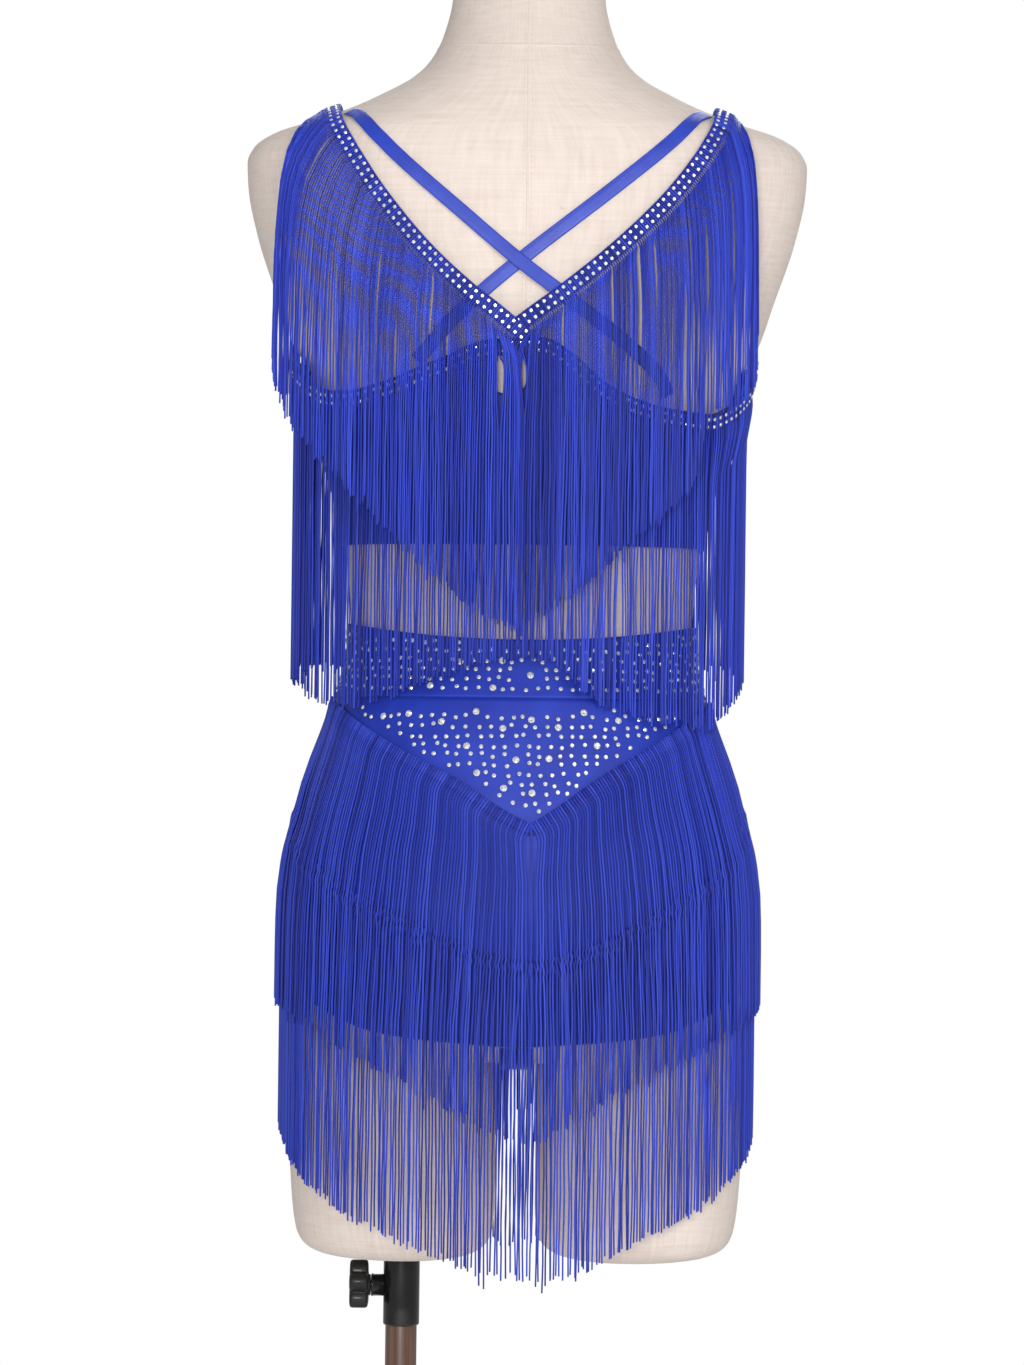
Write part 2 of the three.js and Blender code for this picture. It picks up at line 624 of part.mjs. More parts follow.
// A flat strap laid on the form; over lifts it where it crosses the other one.
function strap(rows, over) {
  const curve = new THREE.CatmullRomCurve3(rows.map((row) => onSide({ ...row, side: 'back' })));
  return wall(STRAP.steps, 1, (u, v, out) => {
    const { place, normal } = settle(curve.getPointAt(u), 0);
    const across = normal.clone().cross(curve.getTangentAt(u)).normalize();
    const lift = over * (1 - ramp(Math.abs(place.x), 0, STRAP.overLong));
    const edge = place.addScaledVector(across, (v - 0.5) * STRAP.width);
    return edge.addScaledVector(normal, out + lift);
  }, STRAP.gap, STRAP.thick);
}

function waistband(side) {
  return wall(18, 2, (u, v, out) => {
    const turn = halfTurn(u, side, WAIST.side / 9);
    const middle = Math.sin(turn) ** 2;
    const top = THREE.MathUtils.lerp(WAIST.side, WAIST.middle, middle);
    const z = THREE.MathUtils.lerp(WAIST.fold, top, v);
    return onSection(formSection(z), turn, z, out);
  });
}

function briefs(side) {
  const rows = BRIEFS_ROWS.length - 1;
  return wall(16, rows, (u, v, out) => {
    const turn = halfTurn(u, side, formSection(WAIST.fold).half);
    const share = BRIEFS_ROWS[Math.round(v * rows)];
    const z = THREE.MathUtils.lerp(legEdge(fromSide(turn)), WAIST.fold - SEAM_GAP, share);
    return onSection(formSection(z), turn, z, out);
  });
}

// The gusset closes the briefs between the thighs.
function gusset() {
  const last = GUSSET_LINE.length - 1;
  const pointAt = (i) => new THREE.Vector3(0, GUSSET_LINE[i].y, GUSSET_LINE[i].z);
  return wall(1, last, (u, v, out) => {
    const i = Math.round(v * last);
    const run = pointAt(Math.min(last, i + 1)).sub(pointAt(Math.max(0, i - 1))).normalize();
    const place = pointAt(i).addScaledVector(new THREE.Vector3(0, run.z, -run.y), out);
    return place.setX((u - 0.5) * GUSSET.width);
  }, 0, GUSSET.thick);
}

// ---------------------------------------------------------------- fringe

// The place on a line at each of several shares of its length.
function evenly(placeAt, from, to, shares) {
  const steps = 600;
  const at = (i) => from + ((to - from) * i) / steps;
  const run = [0];
  for (let i = 1; i <= steps; i += 1) {
    run.push(run[i - 1] + placeAt(at(i)).distanceTo(placeAt(at(i - 1))));
  }
  return shares.map((share) => {
    const want = share * run[steps];
    const i = Math.min(steps - 1, Math.max(0, run.findLastIndex((length) => length <= want)));
    return at(i + (want - run[i]) / (run[i + 1] - run[i]));
  });
}

// Where a line's points are at given shares of its length.
function along(line, shares) {
  const run = [0];
  for (let i = 1; i < line.length; i += 1) {
    run.push(run[i - 1] + line[i].distanceTo(line[i - 1]));
  }
  return shares.map((share) => {
    const want = share * run.at(-1);
    const i = Math.min(line.length - 2, Math.max(0, run.findLastIndex((length) => length <= want)));
    return line[i].clone().lerp(line[i + 1], (want - run[i]) / (run[i + 1] - run[i]));
  });
}

// Cuts a line where it has run the given length. sideways is how much its way aside counts.
function trimmed(line, length, sideways = 1) {
  let run = 0;
  for (let i = 1; i < line.length; i += 1) {
    const fallen = Math.abs(line[i].z - line[i - 1].z);
    const step = THREE.MathUtils.lerp(fallen, line[i].distanceTo(line[i - 1]), sideways);
    if (run + step >= length) {
      return [...line.slice(0, i), line[i - 1].clone().lerp(line[i], (length - run) / step)];
    }
    run += step;
  }
  return line;
}

// The tape's four corners at one place on it: high and low, outside and inside.
function tapeCorners(frame, width) {
  const { middle, down, normal } = frame;
  const corner = (low, out) => middle.clone()
    .addScaledVector(down, (low * width) / 2)
    .addScaledVector(normal, (out * TAPE_THICK) / 2);
  return [corner(-1, 1), corner(-1, -1), corner(1, -1), corner(1, 1)];
}

// A tape with its locks, as one closed mesh. Stations come in pairs, one at each side of a lock,
// which is left out where the first is bare; an open tape has one more at each end. fall gives a
// strand's line from a station.
function comb(stations, closed, width, sharesAt, fall) {
  const points = stations.flatMap((frame) => tapeCorners(frame, width));
  const faces = [];
  const at = (station, corner) => (station % stations.length) * 4 + corner;
  const spans = closed ? stations.length : stations.length - 1;
  const first = closed ? 0 : 1;
  for (let j = 0; j < spans; j += 1) {
    for (const [a, b] of [[0, 1], [1, 2], [3, 0]]) {
      faces.push([at(j, a), at(j, b), at(j + 1, b), at(j + 1, a)]);
    }
    const root = [at(j, 2), at(j, 3), at(j + 1, 3), at(j + 1, 2)];
    if (j % 2 === first && !stations[j].bare) {
      addLock(points, faces, root, stations[j], stations[(j + 1) % stations.length], sharesAt, fall);
    } else {
      faces.push(root);
    }
  }
  if (!closed) {
    const last = stations.length - 1;
    faces.push([at(0, 3), at(0, 2), at(0, 1), at(0, 0)]);
    faces.push([at(last, 0), at(last, 1), at(last, 2), at(last, 3)]);
  }
  return closedMesh(points, faces);
}

// One lock: a flat bundle of strands between the lines that fall from its two sides.
function addLock(points, faces, root, left, right, sharesAt, fall) {
  const shares = sharesAt(left);
  const lines = [left, right].map((frame) => along(fall(frame), shares));
  let ring = root;
  const midway = (a, b) => points[a].clone().add(points[b]).multiplyScalar(0.5);
  let before = [0, 1].map((i) => midway(root[i * 2], root[i * 2 + 1]));
  let facing = left.normal;
  shares.forEach((_, step) => {
    const [start, end] = [lines[0][step], lines[1][step]];
    const run = start.clone().sub(before[0]);
    const normal = end.clone().sub(start).cross(run).normalize();
    facing = normal.multiplyScalar(sign(normal.dot(facing)));
    const place = (point, out) => {
      points.push(point.clone().addScaledVector(facing, (out * LOCK_THICK) / 2));
      return points.length - 1;
    };
    const next = [place(start, -1), place(start, 1), place(end, 1), place(end, -1)];
    for (let i = 0; i < 4; i += 1) {
      const j = (i + 1) % 4;
      faces.push([ring[i], ring[j], next[j], next[i]]);
    }
    ring = next;
    before = [start, end];
  });
  faces.push(ring);
}

// Shares of a tape's length for the two sides of each lock.
function lockShares(count) {
  const margin = (1 - LOCK_SHARE) / 2;
  return Array.from({ length: count }, (_, i) => [(i + margin) / count, (i + 1 - margin) / count]).flat();
}

// The widest section between two levels: what hangs past it hangs clear of the form.
function hangingSection(sectionAt, top, z) {
  const widest = { ...sectionAt(top) };
  for (let level = top; level > z; level -= 8) {
    const section = sectionAt(Math.max(level, z));
    for (const name of ['half', 'back', 'front', 'round']) {
      widest[name] = Math.max(widest[name], section[name]);
    }
  }
  return widest;
}

// What the chest fringe hangs as, and so what the neck fringe hangs over.
function chestHang(z) {
  return z < CHEST_TOP ? hangingSection(bodiceSection, CHEST_TOP, z) : bodiceSection(z);
}

// A fringe right round the body, on a line that gives its height at each turn.
function ringFringe(size, shares, sectionAt, heightAt) {
  const middleOut = size.gap + TAPE_THICK / 2;
  const placeAt = (turn) => onSection(sectionAt(heightAt(turn)), turn, heightAt(turn), middleOut);
  const turns = evenly(placeAt, -Math.PI, Math.PI, lockShares(size.locks));
  const stations = turns.map((turn) => {
    const middle = placeAt(turn);
    const run = placeAt(turn + 0.01).sub(placeAt(turn - 0.01)).normalize();
    const normal = gradient(sectionAt, onSection(sectionAt(middle.z), turn, middle.z)).normalize();
    const down = run.clone().cross(normal).normalize();
    down.multiplyScalar(down.z > 0 ? -1 : 1);
    return { middle, down, normal, turn };
  });
  const fall = (frame) => {
    const root = frame.middle.clone().addScaledVector(frame.down, size.width / 2);
    const line = [root];
    for (let drop = 8; drop < size.drop + 8; drop += 8) {
      const z = root.z - drop;
      const out = THREE.MathUtils.lerp(middleOut, size.layer, ramp(drop, 0, size.ease));
      const place = onSection(hangingSection(sectionAt, root.z, z), frame.turn, z, out);
      place.x -= size.lean * ramp(place.x, LEAN.from, LEAN.to) * ramp(drop, LEAN.high, LEAN.low);
      line.push(place);
    }
    return trimmed(line, size.drop);
  };
  return comb(stations, true, size.width, () => shares, fall);
}

// The neck trim's line on one side. The left one runs on past the middle at both Vs.
function neckLine(side) {
  const rows = NECK_LINE.map((row) => ({ ...row }));
  if (side < 0) {
    for (const row of [rows[0], rows.at(-1)]) {
      row.x -= NECK_OVERLAP.x;
      row.z -= NECK_OVERLAP.drop;
    }
  }
  const { x, from, to } = NECK_SHIFT;
  const shiftAt = (row) => (row.side === 'back' ? x * (1 - ramp(row.z, from, to)) : 0);
  const places = rows.map((row) => onSide({ ...row, x: side * row.x + shiftAt(row) }));
  const curve = new THREE.CatmullRomCurve3(places);
  const gaps = rows.map((row, i) => ({ share: i / (rows.length - 1), gap: row.gap }));
  const gapAt = column(gaps, 'share', 'gap');
  return (share) => {
    const clamped = THREE.MathUtils.clamp(share, 0, 1);
    const raw = curve.getPoint(clamped);
    const past = Math.abs(raw.x - (raw.y < 0 ? NECK_SHIFT.x : 0));
    const lift = side < 0 ? NECK_OVERLAP.lift * (1 - ramp(past, 10, NECK_OVERLAP.long)) : 0;
    return { ...settle(raw, gapAt(clamped) + TAPE_THICK / 2 + lift), lift };
  };
}

function neckFringe(side) {
  const lineAt = neckLine(side);
  const placeAt = (share) => lineAt(share).place;
  const shares = evenly(placeAt, 0, 1, [0, ...lockShares(NECK.locks), 1]);
  const stations = shares.map((share, index) => {
    const { place, normal, lift } = lineAt(share);
    const run = placeAt(share + 0.004).clone().sub(placeAt(share - 0.004)).normalize();
    const down = run.clone().cross(normal).normalize();
    down.multiplyScalar(down.dot(new THREE.Vector3(side, 0, -1)) < 0 ? -1 : 1);
    const face = index < shares.length / 2 ? 'back' : 'front';
    return { middle: place, down, normal, lift, face, bare: place.z > NECK_FAN.bareOver };
  });
  const word = side < 0 ? 'left' : 'right';
  const [swing, shorter] = [NECK_SWING, NECK_SHORTER].map((rows) => column(rows, 'z', word));
  const fall = (frame) => {
    const root = frame.middle.clone().addScaledVector(frame.down, NECK.width / 2);
    const way = frame.face === 'back' ? -1 : 1;
    const fan = NECK_FAN.slope * Math.max(0, NECK_FAN.long - Math.abs(frame.middle.y));
    const reach = swing(frame.middle.z) + Math.min(fan, NECK_FAN.most);
    const layer = NECK.layer + NECK.shoulder * ramp(frame.middle.z, 1340, 1395) + frame.lift;
    const line = [root];
    let depth = root.y * way;
    for (let drop = 4; drop < NECK.drop + 4; drop += 4) {
      const x = root.x + side * reach * (1 - Math.exp(-drop / NECK.swing));
      const z = root.z - drop;
      const out = THREE.MathUtils.lerp(NECK_LINE[0].gap + TAPE_THICK / 2, layer, ramp(drop, 0, NECK.ease));
      const reached = [formSection, chestHang].map((sectionAt) => depthAt(x, z, frame.face, sectionAt, out));
      depth = Math.max(depth, ...reached);
      line.push(new THREE.Vector3(x, way * depth, z));
    }
    return trimmed(line, NECK.drop - shorter(frame.middle.z), NECK.sideways);
  };
  return comb(stations, false, NECK.width, (frame) => NECK_SHARES[frame.face], fall);
}

const quarterLine = (rows) => {
  const curve = column(rows, 'turn', 'z');
  const { most, near, far } = HIP_SHIFT;
  const shiftAt = (turn) => most * (1 - ramp(Math.abs(fullTurn(turn) + 90), near, far));
  return (turn) => curve(fromSide(turn - radians(shiftAt(turn))));
};

// ---------------------------------------------------------------- the whole

add('stand_base', standBase(), BLACK);
add('stand_pole', rod(POLE.radius, onPole(BASE.thick + SEAM_GAP), onPole(POLE.top), POLE.sides), WOOD);
add('pole_collar', poleCollar(), BLACK);
add('clamp_knob', clampKnob(), BLACK);
add('dress_form', dressForm(), LINEN);
add('bodice_back', bodiceBack(), BLUE);
add('bodice_front_left', bodiceFront(-1), BLUE);
add('bodice_front_right', bodiceFront(1), BLUE);
add('strap_left', strap(STRAP_LEFT, STRAP.over), BLUE);
add('strap_right', strap(STRAP_RIGHT, 0), BLUE);
for (const side of ['back', 'front']) {
  add(`waistband_${side}`, waistband(side), BLUE);
  add(`briefs_${side}`, briefs(side), BLUE);
}
add('briefs_gusset', gusset(), BLUE);
add('fringe_neck_left', neckFringe(-1), STRAND);
add('fringe_neck_right', neckFringe(1), STRAND);
const chestHeight = (turn) => chestLine(fullTurn(turn));
add('fringe_chest', ringFringe(CHEST, CHEST_SHARES, bodiceSection, chestHeight), STRAND);
const upperHeight = quarterLine(HIP_UPPER_LINE);
const lowerHeight = quarterLine(HIP_LOWER_LINE);
add('fringe_hip_upper', ringFringe(HIP_UPPER, UPPER_SHARES, formSection, upperHeight), STRAND);
add('fringe_hip_lower', ringFringe(HIP_LOWER, LOWER_SHARES, formSection, lowerHeight), STRAND);

export default group;
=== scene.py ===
"""The looks of a two-piece fringed samba costume on a linen dress form and its floor stand.

Lengths are millimetres in this script and metres in Blender. X = 0 is the costume's plane of
symmetry, its back faces -Y, and Z = 0 is the floor. A turn goes round the body about Z: 0 is the
right side, -90 degrees the centre back.
"""

import math

import bmesh
import bpy
import numpy as np
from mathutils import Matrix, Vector


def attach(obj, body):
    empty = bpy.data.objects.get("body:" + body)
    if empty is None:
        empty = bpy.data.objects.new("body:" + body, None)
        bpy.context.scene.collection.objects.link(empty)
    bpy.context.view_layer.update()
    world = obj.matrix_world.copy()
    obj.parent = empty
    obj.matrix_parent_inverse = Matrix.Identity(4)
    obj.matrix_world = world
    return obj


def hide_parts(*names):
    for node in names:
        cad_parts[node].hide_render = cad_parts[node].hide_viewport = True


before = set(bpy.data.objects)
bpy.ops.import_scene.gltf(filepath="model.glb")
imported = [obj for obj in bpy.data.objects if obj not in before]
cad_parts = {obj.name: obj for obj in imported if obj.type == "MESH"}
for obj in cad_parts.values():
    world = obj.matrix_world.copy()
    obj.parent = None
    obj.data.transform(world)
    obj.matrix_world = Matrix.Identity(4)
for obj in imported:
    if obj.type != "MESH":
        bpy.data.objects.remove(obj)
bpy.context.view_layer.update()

MM = 0.001
FORM_LOOK = "dress_form_look"


def table(names, *rows):
    """A table with named columns, one dictionary a row."""
    return [dict(zip(names.split(), row)) for row in rows]


# ---------------------------------------------------------------- the body's sections

# From the crotch up to the top of the neck: half the width, how far the back and the front
# stand from Y = 0, and the superellipse exponent.
TORSO = table(
    "z half back front round",
    (752, 147, 84, 75, 2.5),
    (759, 159, 95, 85, 2.5),
    (775, 159, 104, 90, 2.5),
    (800, 159, 111, 94, 2.45),
    (827, 159, 117, 98, 2.4),
    (858, 158.5, 121, 102, 2.35),
    (886, 155.5, 121, 105, 2.3),
    (925, 145.5, 116, 107, 2.3),
    (956, 138.5, 108, 107, 2.25),
    (993, 129, 96, 104, 2.2),
    (1020, 121.5, 85, 99, 2.15),
    (1046, 119, 79, 97, 2.15),
    (1072, 120.5, 79, 99, 2.15),
    (1107, 124.6, 83, 106, 2.2),
    (1150, 133, 89, 119, 2.25),
    (1190, 143, 94, 127, 2.3),
    (1222, 148, 98, 125, 2.35),
    (1247, 163, 100, 118, 2.45),
    (1278, 173.6, 102, 106, 2.5),
    (1320, 187.6, 100, 90, 2.6),
    (1354, 194.6, 96, 80, 2.6),
    (1371.6, 195.5, 93, 75, 2.55),
    (1382, 191, 90.5, 72, 2.5),
    (1391, 178, 88, 70, 2.45),
    (1399.6, 152, 85, 67, 2.35),
    (1410, 124, 81, 64, 2.25),
    (1420, 103, 77, 61, 2.15),
    (1431, 83, 73, 58, 2.1),
    (1443, 70, 68, 56, 2.05),
    (1461, 60.2, 60, 55, 2.0),
    (1488, 53.5, 50, 56, 2.0),
    (1522, 51.5, 44, 59, 2.0),
    (1530, 47, 40, 54, 2.0),
)
THIGH = table(
    "z inner outer back front",
    (612.5, 40, 118, 56, 48),
    (613.5, 33, 127, 62, 54),
    (615.5, 26, 138, 69, 61),
    (619, 20.5, 145.5, 76, 68),
    (624, 17, 150, 81, 73),
    (632, 15, 153, 85.5, 77.5),
    (645, 14, 155, 88, 80),
    (680, 14, 157.5, 89.5, 81),
    (735, 14, 159.5, 91, 82),
    (790, 24, 148, 82, 74),
)
THIGH_ROUND = 2.5

# ---------------------------------------------------------------- the costume's sizes

CLOTH_GAP = 1.5
CLOTH_THICK = 1.4
BAND_BOTTOM = 1105
GAPE_LOW, GAPE_HIGH, GAPE_GONE, GAPE_MOST = 1135, 1224, 1250, 7.5
KEYHOLE = {"left": -22.5, "right": 0.5, "low": 1207, "high": 1236, "corner": 8}
# Cut pieces lie this far apart at a seam; the fold leaves less between its two sides.
SEAM_GAP, FOLD_GAP = 0.3, 0.05

FRONT_HALF = table(
    "z neck arm",
    (1105, 0, 0),
    (1150, 0, 0),
    (1190, 0, 0),
    (1222, 0, 0),
    (1230, 0, 12),
    (1238, 4, 20),
    (1252, 16, 28),
    (1278, 44, 37),
    (1300, 65, 43),
    (1320, 81, 47),
    (1354, 102, 50),
    (1371.6, 110, 50),
    (1382, 113, 48),
    (1391, 116, 43),
    (1399.6, 117, 27),
)
STRAP_LEFT = table(
    "x z",
    (-122, 1401), (-83, 1363.5), (-41, 1327), (-3, 1295), (27, 1273),
    (61, 1248), (80, 1232), (92, 1219), (97, 1208),
)
STRAP_RIGHT = table(
    "x z",
    (122, 1402), (92, 1375), (55, 1344), (4.5, 1304),
    (-25, 1279.5), (-49, 1257.5), (-66, 1237.5), (-73, 1229.5),
)
WAIST_SIDE, WAIST_MIDDLE, FOLD = 1051, 1040.5, 1000.6
LEG_EDGE = table("turn z", (0, 806), (30, 792), (60, 772), (90, 764))
GUSSET_WIDTH = 21
GUSSET_LINE = table(
    "y z", (-100.4, 763.6), (-97.4, 757), (-86, 750.2), (76, 750.2), (87.4, 757), (90.6, 763.6)
)

# Each trim: the width of its header, how far that stands off the body, how long its strands are,
# how far out they hang, over what length they come to hang so, and how far apart they are.
CHEST = {"width": 10.5, "gap": 4.1, "drop": 207, "layer": 5.0, "ease": 20, "pitch": 2.0}
HIP_UPPER = {"width": 8, "gap": 3.9, "drop": 210, "layer": 9.5, "ease": 60, "pitch": 2.1}
HIP_LOWER = {"width": 8, "gap": 3.8, "drop": 210, "layer": 5.8, "ease": 30, "pitch": 2.1}
NECK = {
    "width": 10.5, "drop": 203, "layer": 9.9, "shoulder": 6, "ease": 40, "pitch": 1.8,
    "swing": 26, "sideways": 0.6,
}
CHEST_TOP = 1232
STRAND_RADIUS = 0.6

CHEST_LINE = table(
    "turn z",
    (-180, 1226), (-167, 1220), (-158, 1211.5), (-149, 1204.5), (-139, 1203.3),
    (-123.5, 1209.7), (-114, 1218), (-105, 1226.5), (-97, 1236), (-88, 1238.8),
    (-82, 1229), (-74, 1211), (-64, 1199), (-53, 1193), (-36, 1190.5),
    (-25, 1197.5), (-12, 1210), (0, 1223), (20, 1231), (50, 1232),
    (90, 1226), (130, 1232), (160, 1231), (180, 1226),
)
HIP_UPPER_LINE = table(
    "turn z", (0, 996), (18, 991), (38, 978), (58, 959.5), (74, 941), (84, 923.5), (90, 912)
)
HIP_LOWER_LINE = table(
    "turn z", (0, 921), (15, 902), (37, 876), (53, 859.5), (67, 843.5), (79, 829.5), (90, 818.5)
)
# The hip trims' points sit off the centre back: degrees of turn, fading out to the sides.
HIP_SHIFT = {"most": 1.8, "near": 10, "far": 45}
NECK_LINE = table(
    "side x z gap",
    ("back", 0, 1252.3, 5.6),
    ("back", 15, 1263.5, 5.6),
    ("back", 32, 1276, 5.4),
    ("back", 64, 1304, 4.4),
    ("back", 97, 1340, 3.6),
    ("back", 117, 1368, 3.6),
    ("back", 129, 1388, 3.8),
    ("top", 133, 1405, 4.0),
    ("front", 128, 1390, 4.4),
    ("front", 112, 1362, 3.6),
    ("front", 84, 1316, 3.4),
    ("front", 52, 1277, 4.4),
    ("front", 20, 1250, 5.4),
    ("front", 0, 1239, 5.6),
)
NECK_OVERLAP = {"x": 8, "drop": 7.5, "lift": 2.4, "long": 26}
# The back V's point sits off centre; its trims come back to even up at the shoulders.
NECK_SHIFT = {"x": -6.5, "from": 1262, "to": 1372}
NECK_SWING = table(
    "z left right",
    (1230, 0, 0), (1262, 1, 1), (1300, 4.5, 3), (1340, 11, 6),
    (1366, 18.5, 8), (1388, 24, 10), (1405, 24, 10),
)
# On the shoulder the strands fan out further, the more the nearer they are to Y = 0.
NECK_FAN = {"slope": 0.28, "long": 85, "most": 6.8}
# How much shorter the neck strands are that hang from these heights.
NECK_SHORTER = table(
    "z left right",
    (1345, 0, 0), (1354, 0, 6), (1364, 0, 33), (1372, 0, 29), (1390, 0, 11), (1405, 0, 3),
)
# How far in the chest fringe hangs at its right side, and over which places and drops.
CHEST_LEAN = {"most": 5, "from": 118, "to": 150, "high": 4, "low": 40}
SLITS = table(
    "x high low width",
    (-143, 1380, 1358, 1.6), (-101, 1293, 1260, 1.4), (-88.5, 1246, 1211, 1.6),
    (-64.5, 1286, 1243, 1.5), (-53, 1248, 1230, 1.3), (-16.5, 1238, 1204, 4.6),
    (-1, 1238, 1204, 3.6), (24.5, 1264, 1236, 1.4), (58.5, 1292, 1247, 1.7),
    (77, 1316, 1228, 2.6), (87.5, 1304, 1277, 1.5), (122, 1318, 1281, 1.6),
)
CHEST_SLITS = table("x high low width", (-16.5, 1240, 1196, 5.2), (-1, 1240, 1196, 4.2))

# Large stones at the back, by where they are; the small ones fill the cloth between them.
LARGE_STONES = table(
    "x z",
    (-13, 1025), (-41, 1024), (6, 1015), (-61, 1007), (-19, 1006), (-30, 990), (7, 985),
    (42, 990), (65, 985), (-53, 983), (-75, 988), (-92, 986), (-106, 984), (-12, 979),
    (25, 980), (-74, 971), (-36, 967), (51, 968), (69, 964), (-54, 962), (-3, 958),
    (19, 959), (46, 951), (-29, 949), (29, 940), (-11, 939), (8, 936),
)

YOKE_STONES = {"bottom": 910, "top": 1050, "row": 6.4, "apart": 7.7, "clear": 5.2}
STONE_RADIUS = {"small": 1.6, "large": 2.6, "trim": 1.35}

# ---------------------------------------------------------------- curves


def ramp(value, low, high):
    t = np.clip((np.asarray(value, float) - low) / (high - low), 0, 1)
    return t * t * (3 - 2 * t)


def mix(a, b, t):
    return a + (b - a) * t


def unit(vectors):
    return vectors / np.linalg.norm(vectors, axis=-1, keepdims=True)


def values(rows, *names):
    """Columns of a table as arrays."""
    return [np.array([row[name] for row in rows], float) for name in names]


def pairs(first, second):
    """Two arrays spread over each other, as one array of pairs."""
    return np.stack(np.broadcast_arrays(first, second), -1)


def run_of(points, axis=0):
    """How far along its line each point is. The lines run along an axis of the array."""
    step = np.linalg.norm(np.diff(points, axis=axis), axis=-1)
    start = np.zeros_like(np.take(step, [0], axis))
    return np.concatenate([start, np.cumsum(step, axis)], axis)


def around(sides):
    """Angles right round a circle."""
    return 2 * math.pi * np.arange(sides) / sides


def hermite(t, low, leave, high, arrive):
    """A cubic from low to high, with its slopes at both ends."""
    return (
        (2 * t**3 - 3 * t**2 + 1) * low
        + (t**3 - 2 * t**2 + t) * leave
        + (3 * t**2 - 2 * t**3) * high
        + (t**3 - t**2) * arrive
    )


def column(rows, key, name):
    """A smooth curve through one column of a table, with no swing past its rows."""
    at, value = values(rows, key, name)
    step = np.diff(value) / np.diff(at)
    slope = np.zeros(len(at))
    slope[0], slope[-1] = step[0], step[-1]
    before, after = step[:-1], step[1:]
    same = before * after > 0
    slope[1:-1][same] = (2 * before * after)[same] / (before + after)[same]

    def curve(x):
        x = np.clip(np.asarray(x, float), at[0], at[-1])
        i = np.clip(np.searchsorted(at, x, side="right") - 1, 0, len(at) - 2)
        span = at[i + 1] - at[i]
        t = (x - at[i]) / span
        return hermite(t, value[i], span * slope[i], value[i + 1], span * slope[i + 1])

    return curve


def through(points):
    """A centripetal Catmull-Rom curve through points, as a function of a share from 0 to 1."""
    inner = np.asarray(points, float)
    ends = 2 * inner[[0, -1]] - inner[[1, -2]]
    knots = np.vstack([ends[:1], inner, ends[1:]])
    spacing = np.sqrt(np.linalg.norm(np.diff(knots, axis=0), axis=1))

    def curve(share):
        place = np.clip(np.asarray(share, float), 0, 1) * (len(inner) - 1)
        i = np.minimum(place.astype(int), len(inner) - 2)
        p0, p1, p2, p3 = (knots[i + k] for k in range(4))
        d0, d1, d2 = (spacing[i + k][..., None] for k in range(3))
        start = ((p1 - p0) / d0 - (p2 - p0) / (d0 + d1) + (p2 - p1) / d1) * d1
        end = ((p2 - p1) / d1 - (p3 - p1) / (d1 + d2) + (p3 - p2) / d2) * d1
        return hermite((place - i)[..., None], p1, start, p2, end)

    return curve


def evenly(place_at, low, high, shares):
    """The parameters whose places are at the given shares of a line's length, and that length."""
    at = np.linspace(low, high, 3001)
    run = run_of(place_at(at))
    return np.interp(np.asarray(shares) * run[-1], run, at), run[-1]


# ---------------------------------------------------------------- the body's surface

TORSO_CURVES = [column(TORSO, "z", name) for name in ("half", "back", "front", "round")]


def form_section(z):
    """Half width, back, front and exponent of the form at a height."""
    return np.stack([curve(z) for curve in TORSO_CURVES])


def bodice_section(z):
    """The form's section, widened where the bodice stands off under the arms."""
    section = form_section(z)
    section[0] += GAPE_MOST * ramp(z, GAPE_LOW, GAPE_HIGH) * (1 - ramp(z, GAPE_HIGH, GAPE_GONE))
    return section


HANG_LEVELS = np.arange(CHEST_TOP, 980, -4.0)
HANG_WIDEST = np.maximum.accumulate(bodice_section(HANG_LEVELS), axis=1)


def chest_hang(z):
    """The section that the chest fringe hangs as: what is below the widest one hangs clear."""
    z = np.asarray(z, float)
    hanging = np.stack([np.interp(-z, -HANG_LEVELS, widest) for widest in HANG_WIDEST])
    return np.where(z < CHEST_TOP, hanging, bodice_section(z))


def on_section(section, turn, z, out=0.0):
    """Points of superellipse sections at a turn, moved straight out of them by out."""
    half, back, front, power = section
    depth = np.where(np.sin(turn) < 0, back, front)
    across = np.sign(np.cos(turn)) * np.abs(np.cos(turn)) ** (2 / power)
    along = np.sign(np.sin(turn)) * np.abs(np.sin(turn)) ** (2 / power)
    normal_x = np.sign(across) * np.abs(across) ** (power - 1) / half
    normal_y = np.sign(along) * np.abs(along) ** (power - 1) / depth
    length = np.hypot(normal_x, normal_y)
    x = half * across + out * normal_x / length
    y = depth * along + out * normal_y / length
    return np.stack([x, y, z + np.zeros_like(x)], -1)


def outside(section_at, points):
    """Below 0 inside a surface, 0 on it and above 0 outside."""
    half, back, front, power = section_at(points[..., 2])
    depth = np.where(points[..., 1] < 0, back, front)
    across = np.abs(points[..., 0] / half) ** power
    return across + np.abs(points[..., 1] / depth) ** power - 1


def gradient(section_at, points, step=0.5):
    ahead, behind = (
        np.stack([outside(section_at, points + way * axis) for axis in np.eye(3)], -1)
        for way in (step, -step)
    )
    return (ahead - behind) / (2 * step)


def settle(points, out, section_at=form_section):
    """Brings points onto a surface, then out along its normals; gives both."""
    place = np.array(points, float)
    for _ in range(12):
        slope = gradient(section_at, place)
        square = np.sum(slope * slope, -1)
        place -= slope * (outside(section_at, place) / square)[..., None]
    normal = unit(gradient(section_at, place))
    return place + normal * np.asarray(out)[..., None], normal


def depth_at(x, z, is_back, section_at=form_section, out=0.0):
    """How far a surface, grown by out, reaches to the back or the front at a place."""
    half, back, front, power = section_at(z)
    depth = np.where(is_back, back, front) + out
    left = 1 - np.abs(x / (half + out)) ** power
    return np.where(left > 0, depth * np.maximum(left, 0) ** (1 / power), 0)


